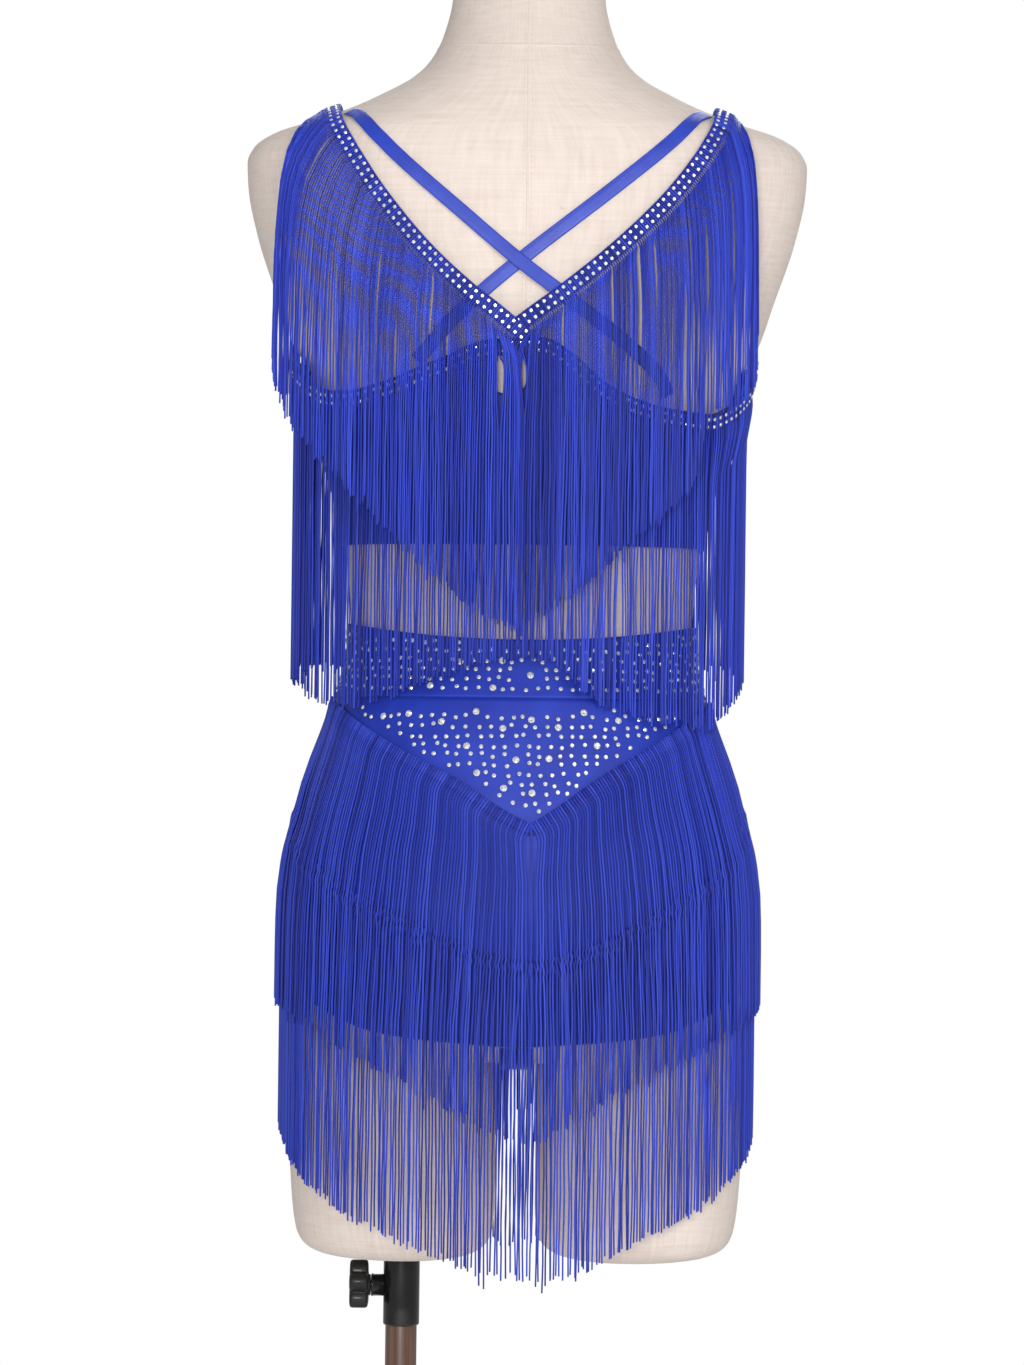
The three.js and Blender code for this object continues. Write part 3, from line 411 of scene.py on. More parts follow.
def on_back(rows):
    x, z = values(rows, "x", "z")
    return np.stack([x, -depth_at(x, z, True), z], -1)


def round_turns(count):
    """Turns right round the body, an equal length of cloth apart."""
    middle = form_section(FOLD)
    shares = np.arange(count + 1) / count
    return evenly(lambda turn: on_section(middle, turn, FOLD), -math.pi, math.pi, shares)[0]


def from_side(turn):
    """A turn as degrees from the nearest side seam."""
    return np.degrees(np.arcsin(np.minimum(1, np.abs(np.sin(turn)))))


chest_curve = column(CHEST_LINE, "turn", "z")
leg_curve = column(LEG_EDGE, "turn", "z")
upper_curve = column(HIP_UPPER_LINE, "turn", "z")
lower_curve = column(HIP_LOWER_LINE, "turn", "z")


def chest_height(turn):
    return chest_curve(np.degrees(np.arctan2(np.sin(turn), np.cos(turn))))


def hip_turn(turn):
    """A turn as degrees from the side, with the hip trims' point off centre at the back."""
    from_back = np.abs(np.degrees(np.arctan2(np.sin(turn), np.cos(turn))) + 90)
    shift = HIP_SHIFT["most"] * (1 - ramp(from_back, HIP_SHIFT["near"], HIP_SHIFT["far"]))
    return from_side(turn - np.radians(shift))


def upper_height(turn):
    return upper_curve(hip_turn(turn))


def lower_height(turn):
    return lower_curve(hip_turn(turn))


# ---------------------------------------------------------------- meshes


def linked(name, data):
    """A new object in the scene."""
    obj = bpy.data.objects.new(name, data)
    bpy.context.scene.collection.objects.link(obj)
    return obj


def tinted(mesh, tint):
    """Keeps a shade for each point of a mesh, which a material reads."""
    layer = mesh.attributes.new("tint", "FLOAT", "POINT")
    layer.data.foreach_set("value", np.asarray(tint, float))


def mesh_object(name, points, faces, smooth=True, uv=None, tint=None):
    """An object from points in millimetres and faces of 3 or 4 corners each, -1 for no corner."""
    faces = np.asarray(faces, int)
    keep = faces >= 0
    corners = faces[keep]
    starts = np.concatenate([[0], np.cumsum(keep.sum(1))[:-1]])
    mesh = bpy.data.meshes.new(name)
    mesh.vertices.add(len(points))
    mesh.vertices.foreach_set("co", (np.asarray(points, float) * MM).ravel())
    mesh.loops.add(len(corners))
    mesh.loops.foreach_set("vertex_index", corners)
    mesh.polygons.add(len(faces))
    mesh.polygons.foreach_set("loop_start", starts)
    mesh.update(calc_edges=True)
    mesh.polygons.foreach_set("use_smooth", np.full(len(faces), smooth))
    if uv is not None:
        layer = mesh.uv_layers.new(name="cloth")
        layer.uv.foreach_set("vector", (np.asarray(uv, float) * MM)[corners].ravel())
    if tint is not None:
        tinted(mesh, tint)
    mesh.validate()
    return linked(name, mesh)


def grid_faces(rows, columns, start=0, closed=False):
    """Quads over a grid of points kept row by row; closed joins the last column to the first."""
    j, i = np.meshgrid(np.arange(rows - 1), np.arange(columns - (not closed)), indexing="ij")
    here, right = j * columns + i, j * columns + (i + 1) % columns
    quads = np.stack([here, right, right + columns, here + columns], -1)
    return quads.reshape(-1, 4) + start


def shell_faces(rows, columns):
    """Faces of a closed wall: a grid's outer points, then its inner ones."""
    layer = rows * columns
    outer = grid_faces(rows, columns)
    inner = grid_faces(rows, columns, layer)[:, ::-1]
    grid = np.arange(layer).reshape(rows, columns)
    rim = np.concatenate([grid[0, :], grid[1:, -1], grid[-1, -2::-1], grid[-2:0:-1, 0]])
    after = np.roll(rim, -1)
    edge = np.stack([rim, rim + layer, after + layer, after], -1)
    return np.concatenate([outer, inner, edge])


def facing_out(obj):
    """Turns a closed mesh's faces outward."""
    work = bmesh.new()
    work.from_mesh(obj.data)
    bmesh.ops.recalc_face_normals(work, faces=work.faces)
    work.to_mesh(obj.data)
    work.free()
    return obj


def cloth_wall(name, outer, inner, uv):
    """A closed wall of cloth from its outer and inner grids of points."""
    points = np.concatenate([outer.reshape(-1, 3), inner.reshape(-1, 3)])
    both = np.tile(uv.reshape(-1, 2), (2, 1))
    return facing_out(mesh_object(name, points, shell_faces(*outer.shape[:2]), uv=both))


def capped_faces(rings, sides):
    """Faces from ring to ring, and fans to the two middle points that come after the rings."""
    side = np.arange(sides)
    after = (side + 1) % sides
    none = np.full(sides, -1)
    last = (rings - 1) * sides
    middle = np.full(sides, rings * sides)
    top = np.stack([after, side, middle, none], -1)
    bottom = np.stack([last + side, last + after, middle + 1, none], -1)
    return np.concatenate([grid_faces(rings, sides, closed=True), top, bottom])


def copied_faces(one, copies, each):
    """The faces of one small body for many of them, each with as many points."""
    faces = one[None] + (np.arange(copies) * each)[:, None, None]
    return np.where(one[None] < 0, -1, faces).reshape(-1, 4)


def closed_rings(name, points, uv=None):
    """A closed body from rings of points, with a middle point at each end."""
    every = np.concatenate([points.reshape(-1, 3), points[[0, -1]].mean(1)])
    return facing_out(mesh_object(name, every, capped_faces(*points.shape[:2]), uv=uv))


def tubes(name, lines, across, radius, sides=5, tint=None):
    """Closed tubes along lines (strand, point, xyz). across is a direction that no tube follows."""
    strands, count = lines.shape[:2]
    tangent = unit(np.gradient(lines, axis=1))
    first = unit(np.cross(tangent, np.broadcast_to(across[:, None, :], lines.shape)))
    second = np.cross(tangent, first)
    radius = np.broadcast_to(radius, (strands, count))[..., None, None]
    angle = around(sides)[:, None]
    ring = np.cos(angle) * first[:, :, None] + np.sin(angle) * second[:, :, None]
    rings = (lines[:, :, None] + radius * ring).reshape(strands, -1, 3)
    ends = lines[:, [0, -1]] + tangent[:, [0, -1]] * radius[:, [0, -1], 0] * [[[-0.5], [0.5]]]
    points = np.concatenate([rings, ends], 1)
    each = points.shape[1]
    faces = copied_faces(capped_faces(count, sides), strands, each)
    # Neighbours' patterns don't line up.
    length = run_of(lines, 1) + 0.93 * np.arange(strands)[:, None]
    uv = pairs((np.arange(sides) / sides * 4)[None, None, :], length[:, :, None])
    caps = np.stack([np.zeros((strands, 2)), length[:, [0, -1]]], -1)
    uv = np.concatenate([uv.reshape(strands, -1, 2), caps], 1)
    shade = None if tint is None else np.repeat(tint, each)
    return mesh_object(name, points.reshape(-1, 3), faces, uv=uv.reshape(-1, 2), tint=shade)


def joined(name, parts):
    """One object from several."""
    bpy.ops.object.select_all(action="DESELECT")
    for part in parts:
        part.select_set(True)
    bpy.context.view_layer.objects.active = parts[0]
    bpy.ops.object.join()
    parts[0].name = parts[0].data.name = name
    return parts[0]


def cut(obj, other, operation="DIFFERENCE"):
    """Cuts an object by another, or joins them, and takes that one away."""
    modifier = obj.modifiers.new("cut", "BOOLEAN")
    modifier.operation = operation
    modifier.solver = "EXACT"
    modifier.object = other
    depsgraph = bpy.context.evaluated_depsgraph_get()
    mesh = bpy.data.meshes.new_from_object(obj.evaluated_get(depsgraph))
    obj.modifiers.clear()
    obj.data = mesh
    bpy.data.objects.remove(other)


def lathe(name, profile, sides, axis_at, axis="z"):
    """A closed body of revolution from (radius, height) pairs, upright or along X."""
    profile = np.asarray(profile, float)
    angle = around(sides)
    radius, height = profile[:, :1], profile[:, 1:]
    u, v = radius * np.cos(angle), radius * np.sin(angle)
    level = height + np.zeros_like(u)
    order = [u, v, level] if axis == "z" else [level, u, v]
    points = np.stack(order, -1) + np.asarray(axis_at, float)
    along = run_of(profile)
    uv = pairs((angle * profile[:, 0].max())[None], along[:, None]).reshape(-1, 2)
    return closed_rings(name, points, np.concatenate([uv, [[0, 0], [0, along[-1]]]]))


# ---------------------------------------------------------------- materials


def shader(name, **values):
    """A material with its Principled shader's sockets set, and that shader."""
    material = bpy.data.materials.new(name)
    material.use_nodes = True
    principled = material.node_tree.nodes["Principled BSDF"]
    for socket, value in values.items():
        principled.inputs[socket.replace("_", " ")].default_value = value
    return material, principled


class Nodes:
    """Short ways to add nodes to a material."""

    def __init__(self, material, principled):
        self.tree = material.node_tree
        self.principled = principled

    def feed(self, socket, value):
        if isinstance(value, (int, float, tuple)):
            socket.default_value = value
        else:
            self.tree.links.new(value, socket)

    def node(self, kind, result, feeds=(), **settings):
        """Adds a node, makes its settings, feeds its sockets and gives its result."""
        made = self.tree.nodes.new("ShaderNode" + kind)
        for name, value in settings.items():
            setattr(made, name, value)
        for socket, value in dict(feeds).items():
            self.feed(made.inputs[socket], value)
        return made.outputs[result]

    def coordinates(self, kind, scale=(1, 1, 1)):
        place = self.node("TexCoord", kind)
        return self.node("Mapping", "Vector", {"Vector": place, "Scale": scale})

    def point_shade(self):
        """The shade kept for each point of the mesh."""
        return self.node("Attribute", "Fac", attribute_name="tint", attribute_type="GEOMETRY")

    def noise(self, vector, scale, detail=3.0, rough=0.55):
        feeds = {"Vector": vector, "Scale": scale, "Detail": detail, "Roughness": rough}
        return self.node("TexNoise", "Fac", feeds)

    def wave(self, vector, scale, direction, distortion=0.0):
        feeds = {"Vector": vector, "Scale": scale, "Distortion": distortion}
        return self.node("TexWave", "Fac", feeds, bands_direction=direction)

    def maths(self, operation, a, b):
        return self.node("Math", 0, {0: a, 1: b}, operation=operation)

    def ramp(self, value, *stops):
        colour = self.node("ValToRGB", "Color", {"Fac": value})
        elements = colour.node.color_ramp.elements
        while len(elements) < len(stops):
            elements.new(0.5)
        for element, (place, shade) in zip(elements, stops):
            element.position = place
            element.color = (*shade, 1)
        return colour

    def blend(self, factor, a, b):
        """One colour times another, by a factor."""
        feeds = {"Factor": factor, "A": a, "B": b}
        return self.node("Mix", "Result", feeds, data_type="RGBA", blend_type="MULTIPLY")

    def colour(self, value):
        self.feed(self.principled.inputs["Base Color"], value)

    def rough(self, value):
        self.feed(self.principled.inputs["Roughness"], value)

    def bump(self, height, strength, distance):
        feeds = {"Strength": strength, "Distance": distance, "Height": height}
        self.feed(self.principled.inputs["Normal"], self.node("Bump", "Normal", feeds))


def strand_material():
    """Shiny chainette: a looped cord with a fine slanting rib, each strand a little different; the
    rib's grooves carry painted shade and its crests painted light.
    """
    material, principled = shader(
        "chainette",
        Roughness=0.42,
        Sheen_Weight=0.25,
        Sheen_Roughness=0.4,
        Sheen_Tint=(0.35, 0.45, 1.0, 1),
        Specular_IOR_Level=0.35,
    )
    nodes = Nodes(material, principled)
    rib = nodes.wave(nodes.coordinates("UV"), 400, "DIAGONAL", 1.6)
    shade = nodes.ramp(
        nodes.point_shade(),
        (0.0, (0.004, 0.006, 0.15)),
        (0.25, (0.012, 0.026, 0.38)),
        (0.6, (0.028, 0.064, 0.66)),
        (1.0, (0.06, 0.12, 0.92)),
    )
    # Painted shade in the rib's grooves and painted light on its crests, laid over each strand's own
    # shade.
    painted_twist_light = nodes.ramp(rib, (0.15, (0.36, 0.38, 0.52)), (0.8, (1, 1, 1)))
    nodes.colour(nodes.blend(0.9, shade, painted_twist_light))
    nodes.bump(rib, 0.7, 0.0003)
    return material


def spandex_material():
    """Satin stretch knit, smooth, with a fine rib and a soft sheen."""
    material, principled = shader(
        "satin_knit",
        Roughness=0.5,
        Sheen_Weight=0.35,
        Sheen_Roughness=0.35,
        Sheen_Tint=(0.3, 0.4, 1.0, 1),
        Specular_IOR_Level=0.3,
    )
    nodes = Nodes(material, principled)
    place = nodes.coordinates("UV")
    rib = nodes.wave(place, 420, "X", 0.6)
    soft = nodes.noise(place, 28, 2)
    shade = nodes.ramp(soft, (0.25, (0.009, 0.026, 0.32)), (0.75, (0.015, 0.043, 0.45)))
    lines = nodes.ramp(rib, (0, (0.6, 0.6, 0.7)), (1, (1, 1, 1)))
    nodes.colour(nodes.blend(0.25, shade, lines))
    nodes.bump(nodes.maths("ADD", rib, nodes.noise(place, 900, 2)), 0.25, 0.0002)
    return material


def elastic_material():
    """Satin elastic with a fine cross rib."""
    material, principled = shader(
        "satin_elastic",
        Roughness=0.38,
        Sheen_Weight=0.2,
        Sheen_Tint=(0.3, 0.4, 1.0, 1),
        Specular_IOR_Level=0.45,
    )
    nodes = Nodes(material, principled)
    place = nodes.coordinates("UV")
    rib = nodes.wave(place, 500, "X", 0.3)
    soft = nodes.noise(place, 60, 2)
    nodes.colour(nodes.ramp(soft, (0.3, (0.010, 0.034, 0.38)), (0.7, (0.017, 0.051, 0.48))))
    nodes.bump(rib, 0.3, 0.0002)
    return material


def linen_material():
    """Natural linen: a plain weave with slubs along both threads."""
    material, principled = shader(
        "linen", Roughness=0.92, Sheen_Weight=0.15, Specular_IOR_Level=0.15
    )
    nodes = Nodes(material, principled)
    place = nodes.coordinates("UV")
    threads = 420
    warp, weft = (nodes.wave(place, threads, direction, 0.5) for direction in "XY")
    weave = nodes.maths("MULTIPLY", warp, weft)
    slub_up, slub_across = (
        nodes.noise(nodes.coordinates("UV", scale), threads, 3)
        for scale in ((1, 0.07, 1), (0.07, 1, 1))
    )
    slubs = nodes.maths("ADD", slub_up, slub_across)
    tone = nodes.ramp(
        nodes.maths("MULTIPLY", slubs, 0.5),
        (0.3, (0.66, 0.555, 0.49)),
        (0.5, (0.73, 0.63, 0.565)),
        (0.7, (0.79, 0.695, 0.635)),
    )
    flecks = nodes.noise(place, 95, 4, 0.7)
    spotted = nodes.ramp(flecks, (0.22, (0.88, 0.83, 0.78)), (0.34, (1, 1, 1)))
    nodes.colour(nodes.blend(1.0, tone, spotted))
    nodes.bump(nodes.maths("ADD", weave, slubs), 0.35, 0.0004)
    return material


def stone_material():
    """Foil-backed rhinestone: hard-edged facets, brightened in patches by painted glints, and
    darkened at the base by painted shade where it meets the cloth.
    """
    material, principled = shader(
        "rhinestone", Metallic=0.45, Roughness=0.12, IOR=1.6, Coat_Weight=0.5, Coat_Roughness=0.03
    )
    nodes = Nodes(material, principled)
    facets = nodes.noise(nodes.coordinates("Object"), 700, 1)
    # Painted glints: the stone's colour is brightened in small patches, as its facets would catch the
    # light.
    painted_glints = nodes.ramp(facets, (0.35, (0.5, 0.52, 0.58)), (0.6, (0.95, 0.96, 1.0)))
    # Painted shade: the stone's base rings are dark where it meets the cloth.
    painted_base_shade = nodes.ramp(nodes.point_shade(), (0.2, (0.02, 0.025, 0.07)), (0.75, (1, 1, 1)))
    nodes.colour(nodes.blend(1.0, painted_glints, painted_base_shade))
    return material


def painted_material(name, colour, rough, coat):
    """A smooth coat with a faint orange peel and slight wear."""
    material, principled = shader(
        name, Coat_Weight=coat, Coat_Roughness=0.07, Specular_IOR_Level=0.2
    )
    nodes = Nodes(material, principled)
    place = nodes.coordinates("Object")
    worn = nodes.noise(place, 45, 5, 0.65)
    light = tuple(min(1, channel * 1.8 + 0.004) for channel in colour)
    nodes.colour(nodes.ramp(worn, (0.35, colour), (0.85, light)))
    nodes.rough(nodes.ramp(worn, (0.3, (rough,) * 3), (0.8, (rough + 0.18,) * 3)))
    nodes.bump(nodes.noise(place, 900, 2), 0.12, 0.0002)
    return material


def wood_material():
    """Dark brown varnished wood with a long fine grain."""
    material, principled = shader("varnished_wood", Coat_Weight=0.5, Coat_Roughness=0.12)
    nodes = Nodes(material, principled)
    grain = nodes.noise(nodes.coordinates("Object", (1, 1, 0.045)), 260, 5, 0.6)
    broad = nodes.noise(nodes.coordinates("Object", (1, 1, 0.1)), 40, 3)
    fine = nodes.ramp(
        grain,
        (0.3, (0.05, 0.022, 0.013)),
        (0.55, (0.125, 0.06, 0.036)),
        (0.8, (0.2, 0.105, 0.067)),
    )
    patch = nodes.ramp(broad, (0.3, (0.7, 0.66, 0.62)), (0.7, (1, 1, 1)))
    nodes.colour(nodes.blend(0.8, fine, patch))
    nodes.rough(nodes.ramp(grain, (0.3, (0.42,) * 3), (0.8, (0.28,) * 3)))
    nodes.bump(grain, 0.2, 0.0003)
    return material


STRAND = strand_material()
SPANDEX = spandex_material()
ELASTIC = elastic_material()
LINEN = linen_material()
STONE = stone_material()
BASE_COAT = painted_material("base_coat", (0.006, 0.006, 0.007), 0.34, 0.0)
COLLAR_COAT = painted_material("collar_coat", (0.003, 0.003, 0.004), 0.3, 0.6)
BLACK_PLASTIC = painted_material("black_plastic", (0.014, 0.014, 0.014), 0.38, 0.1)
WOOD = wood_material()


def dress(piece, material, slot, body, *nodes):
    """Gives a piece its material and its body, and hides the nodes it stands for. slot is not used.
    """
    piece.data.materials.clear()
    piece.data.materials.append(material)
    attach(piece, body)
    if nodes:
        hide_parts(*nodes)


def dress_sheet(piece, material, slot, node):
    """Dresses a cut piece of cloth on the form's body."""
    dress(piece, material, slot, "form", node)


# ---------------------------------------------------------------- camera, light and floor

CAMERA = {"x": -6.3, "y": -3000, "z": 1011.1, "lens": 113.0, "roll": -0.7}
AMBIENT = 0.42


def add_camera():
    camera = linked("camera", bpy.data.cameras.new("camera"))
    camera.location = Vector((CAMERA["x"], CAMERA["y"], CAMERA["z"])) * MM
    camera.rotation_euler = (math.radians(90), math.radians(CAMERA["roll"]), 0)
    camera.data.lens = CAMERA["lens"]
    camera.data.sensor_width = 36
    camera.data.clip_end = 50
    bpy.context.scene.camera = camera


# Soft lights in metres and watts, all aimed at the costume's middle.
LIGHTS = table(
    "name place size power",
    ("key", (1.1, -2.5, 2.0), 1.3, 30),
    ("fill", (-0.3, -3.1, 1.2), 0.6, 45),
    ("back", (0.4, 2.8, 2.4), 2.0, 55),
)
LIGHTS_AIM = Vector((0, 0, 1.05))


def add_lights():
    for row in LIGHTS:
        lamp = bpy.data.lights.new(row["name"], "AREA")
        lamp.size = row["size"]
        lamp.energy = row["power"]
        obj = linked(row["name"], lamp)
        obj.location = row["place"]
        obj.rotation_euler = (LIGHTS_AIM - obj.location).to_track_quat("-Z", "Y").to_euler()


def add_world():
    """A backdrop that is seen pure white, and lights the costume less than that."""
    world = bpy.data.worlds.new("studio")
    world.use_nodes = True
    tree = world.node_tree
    background = tree.nodes["Background"]
    background.inputs["Color"].default_value = (1, 1, 1, 1)
    path = tree.nodes.new("ShaderNodeLightPath")
    level = tree.nodes.new("ShaderNodeMath")
    level.operation = "MULTIPLY_ADD"
    level.inputs[1].default_value = 1 - AMBIENT
    level.inputs[2].default_value = AMBIENT
    tree.links.new(path.outputs["Is Camera Ray"], level.inputs[0])
    tree.links.new(level.outputs[0], background.inputs["Strength"])
    bpy.context.scene.world = world
    bpy.context.scene.view_settings.view_transform = "Standard"


def floor():
    ground = lathe("floor", [(2200, -3), (2200, 0)], 96, (0, 0, -0.5))
    material, _ = shader("floor_paper", Base_Color=(0.9, 0.9, 0.9, 1), Roughness=0.9)
    ground.data.materials.append(material)


# ---------------------------------------------------------------- stand

POLE_X = -78.5

# Closed profiles of the stand, as (radius, height) pairs.
PLATE = [
    (0.01, 0), (187, 0), (189.3, 0.6), (190, 1.8), (190, 4.3), (189.3, 5.4), (187.6, 6),
    (24, 6), (22, 6.4), (0.01, 6.4),
]
SOCKET = [
    (11.3, 5), (24, 5), (23, 6.6), (21.6, 8), (21, 10), (21, 24), (20.4, 25.5), (19, 26),
    (11.3, 26), (11.3, 5),
]
POLE = [(0.01, 6.3), (10.2, 6.3), (11, 7.2), (11, 861), (10.2, 862), (0.01, 862)]
TUBE = [
    (11.5, 561), (12.0, 561), (12.5, 561.4), (12.65, 562.2), (12.65, 659.4), (12.3, 660),
    (11.5, 660), (11.5, 561),
]
BORE = [(0.01, 600), (13.1, 600), (13.1, 662), (12, 662.2), (12, 960), (0.01, 960)]

# The same for what lies along X: (radius, how far from the pole's axis).
BOSS = [
    (3.4, 11.6), (7.6, 11.6), (7.6, 19.6), (8.0, 20), (8.0, 20.8), (7.5, 21.2), (3.4, 21.2),
    (3.4, 11.6),
]
HUB = [(0.01, 25), (7.5, 25), (7.5, 22.2), (7.0, 21.6), (0.01, 21.6)]
THREAD = {"steps": 18, "from": 23.5, "to": 14.2, "crest": 3.0, "root": 2.55}

# How far the knob's star is drawn in, and where along its axis, from its inner face outward.
KNOB_BEVEL = [
    (9, 0), (3, 0), (1.2, 0.3), (0.3, 1.1), (0, 2.4), (0, 10.6), (0.3, 11.9), (1.2, 12.7),
    (3, 13), (6.5, 12.9), (8, 12.2), (10.5, 12.0),
]


def upright(name, profile, sides, x=POLE_X):
    return lathe(name, profile, sides, (x, 0, 0))


def sideways(name, profile, sides):
    """A round body on the collar's boss axis, which runs along -X."""
    turned = [(radius, -reach) for radius, reach in profile]
    return lathe(name, turned, sides, (POLE_X, 0, KNOB_Z), axis="x")


def stand():
    base = [upright("base_plate", PLATE, 128, 0), upright("socket", SOCKET, 64)]
    dress(joined("stand_base_look", base), BASE_COAT, "base_steel", "stand", "stand_base")
    pole = upright("stand_pole_look", POLE, 64)
    dress(pole, WOOD, "pole_wood", "stand", "stand_pole")


# The clamp collar's boss and knob lie along X at this height.
KNOB_Z = 588.3


def collar():
    parts = [upright("collar_tube", TUBE, 64), sideways("collar_boss", BOSS, 40)]
    whole = joined("pole_collar_look", parts)
    dress(whole, COLLAR_COAT, "collar_steel", "form", "pole_collar")


KNOB = {"lobes": 5, "waist": 11.5, "radius": 17.5, "from": 23.2}


def knob():
    angle = around(120)
    lobe = np.sqrt(0.5 + 0.5 * np.cos(KNOB["lobes"] * angle))
    outline = KNOB["waist"] + (KNOB["radius"] - KNOB["waist"]) * lobe
    inset, level = np.array(KNOB_BEVEL).T[..., None]
    radius = outline - inset
    reach = POLE_X - KNOB["from"] - level + np.zeros_like(radius)
    rings = [reach, radius * np.sin(angle), KNOB_Z + radius * np.cos(angle)]
    star = closed_rings("knob_star", np.stack(rings, -1))
    steps = THREAD["steps"]
    long = THREAD["from"] - THREAD["to"]
    screw = [(0.01, 24)]
    for step in range(steps + 1):
        radius = THREAD["crest"] if step % 2 else THREAD["root"]
        screw.append((radius, THREAD["from"] - long * step / steps))
    screw += [(2.2, 14.0), (0.01, 14.0)]
    parts = [star, sideways("knob_hub", HUB, 40), sideways("knob_screw", screw, 24)]
    dress(joined("clamp_knob_look", parts), BLACK_PLASTIC, "knob_plastic", "knob", "clamp_knob")


# ---------------------------------------------------------------- dress form


def linen_body(name, rings, across):
    """A closed body from rings of points, one above another. across is the cloth's length."""
    points = np.stack(rings)
    heights = np.concatenate([points[..., 2].ravel(), points[[0, -1], :, 2].mean(1)])
    lengths = np.append(np.tile(across, len(points)), [0, 0])
    return closed_rings(name, points, np.stack([lengths, heights], -1))


def form_thigh(side, turns, across):
    curves = [column(THIGH, "z", name) for name in ("inner", "outer", "back", "front")]
    levels = np.unique(np.concatenate([np.linspace(612.5, 632, 22), np.linspace(632, 790, 24)]))
    rings = []
    for z in levels:
        inner, outer, back, front = (curve(z) for curve in curves)
        section = np.array([(outer - inner) / 2, back, front, THIGH_ROUND])
        ring = on_section(section, turns, z)
        ring[:, 0] += side * (inner + outer) / 2
        rings.append(ring)
    return linen_body("form_thigh", rings, across)


def dress_form():
    turns = round_turns(144)[:-1]
    across = turns * 135.0
    heights = np.unique(np.concatenate([
        np.linspace(752, 762, 5), np.linspace(762, 1366, 92), np.linspace(1366, 1440, 38),
        np.linspace(1440, 1521, 18), [1523.5, 1526, 1528, 1529.3, 1530],
    ]))
    rings = [on_section(form_section(z), turns, z) for z in heights]
    body = linen_body("form_torso", rings, across)
    for side in (-1, 1):
        cut(body, form_thigh(side, turns[::2], across[::2] * 0.55), "UNION")
    cut(body, upright("form_bore", BORE, 48))
    body.data.shade_smooth()
    body.name = body.data.name = FORM_LOOK
    dress(body, LINEN, "linen", "form", "dress_form")


def strip(name, line, normal, width, out, thick, bulge):
    """A flat band along a line: line and normal are (point, xyz) arrays; it is width wide."""
    across = unit(np.cross(normal, unit(np.gradient(line, axis=0))))
    shares = np.linspace(-1, 1, 7)
    inner = line[None] + across[None] * (shares * width / 2)[:, None, None] + normal[None] * out
    rise = thick + bulge * (1 - shares**2)
    outer = inner + normal[None] * rise[:, None, None]
    return cloth_wall(name, outer, inner, pairs(run_of(line)[None], (shares * width / 2)[:, None]))


def stitches(name, line, normal, pitch, long, radius, out):
    """Short raised threads along a line."""
    length = run_of(line)
    starts = np.arange(pitch / 2, length[-1] - pitch, pitch)
    shares = np.array([0, 0.25, 0.5, 0.75, 1.0])
    at = starts[:, None] + shares * long
    points = np.stack([np.interp(at, length, line[:, k]) for k in range(3)], -1)
    up = unit(np.stack([np.interp(at, length, normal[:, k]) for k in range(3)], -1))
    lift = out + radius * (1.2 * np.sin(math.pi * shares) - 0.6)
    lines = points + up * lift[None, :, None]
    return tubes(name, lines, up[:, 2], radius)


def form_seams():
    """The form's seams: centre back and front, and round the neck, with their stitches."""
    parts = []
    threads = []
    for turn in (-math.pi / 2, math.pi / 2):
        z = np.linspace(1502, 770, 260)
        line = on_section(form_section(z), np.full_like(z, turn + 1e-4), z)
        place, normal = settle(line, 0.0)
        parts.append(strip("seam", place, normal, 1.5, -0.25, 0.35, 0.18))
        side = unit(np.cross(normal, unit(np.gradient(place, axis=0))))
        for way in (-2.6, 2.6):
            threads.append(stitches("thread", place + side * way, normal, 4.2, 2.4, 0.16, 0.04))
    turns = round_turns(200)
    z = 1453 - 5 * np.cos(turns + math.pi / 2) ** 2
    place, normal = settle(on_section(form_section(z), turns, z), 0.0)
    parts.append(strip("neck_seam", place, normal, 1.6, -0.25, 0.4, 0.2))
    dress(joined("form_seams", parts), LINEN, "linen", "form")
    dress(joined("form_stitches", threads), LINEN, "linen", "form")


# ---------------------------------------------------------------- cloth


def crease(turn, z, low, high):
    """Soft uneven troughs and ridges across a stretched panel, below 1 either way."""
    bend = 6 * np.sin(2.3 * turn + 0.7) + 3.5 * np.sin(5.1 * turn + 2.0)
    waves = 0.5 * np.sin((z + bend) / 6.1) + 0.3 * np.sin((z - 1.7 * bend) / 10.7 + 1.2 + 2 * turn)
    patch = 0.5 + 0.5 * np.sin(3 * turn + z / 31)
    inside = ramp(z, low, low + 12) * (1 - ramp(z, high - 12, high))
    return waves * patch * inside


def measure(points):
    """A grid's own lengths: how far along and up each of its points is."""
    return np.stack([run_of(points, 1), run_of(points, 0)], -1)


HEM = {"rise": 0.45, "edge": 1.2}


def panel(name, turns, z, section_at, lumps, hem_low=0.0, hem_high=0.0):
    """A panel of cloth over the body, with soft creases and turned hems along its edges."""
    outer_gap = CLOTH_GAP + CLOTH_THICK + lumps
    for from_edge, hem in ((z - z[:1], hem_low), (z[-1:] - z, hem_high)):
        if hem:
            outer_gap = outer_gap + HEM["rise"] * (1 - ramp(from_edge, hem - HEM["edge"], hem))
    section = section_at(z)
    outer = on_section(section, turns, z, outer_gap)
    inner = on_section(section, turns, z, CLOTH_GAP + np.minimum(lumps, 0) * 0.5)
    return cloth_wall(name, outer, inner, measure(outer))


def half_turns(side, count, half):
    clear = SEAM_GAP / 2 / half
    turns = round_turns(2 * count)
    part = turns[: count + 1] if side == "back" else turns[count:]
    return np.clip(part, part[0] + clear, part[-1] - clear)


def bodice_edge(turn):
    to_side = ramp(np.abs(np.cos(turn)), 0.9, 1)
    return chest_height(turn) + mix(6.2, 14, to_side)


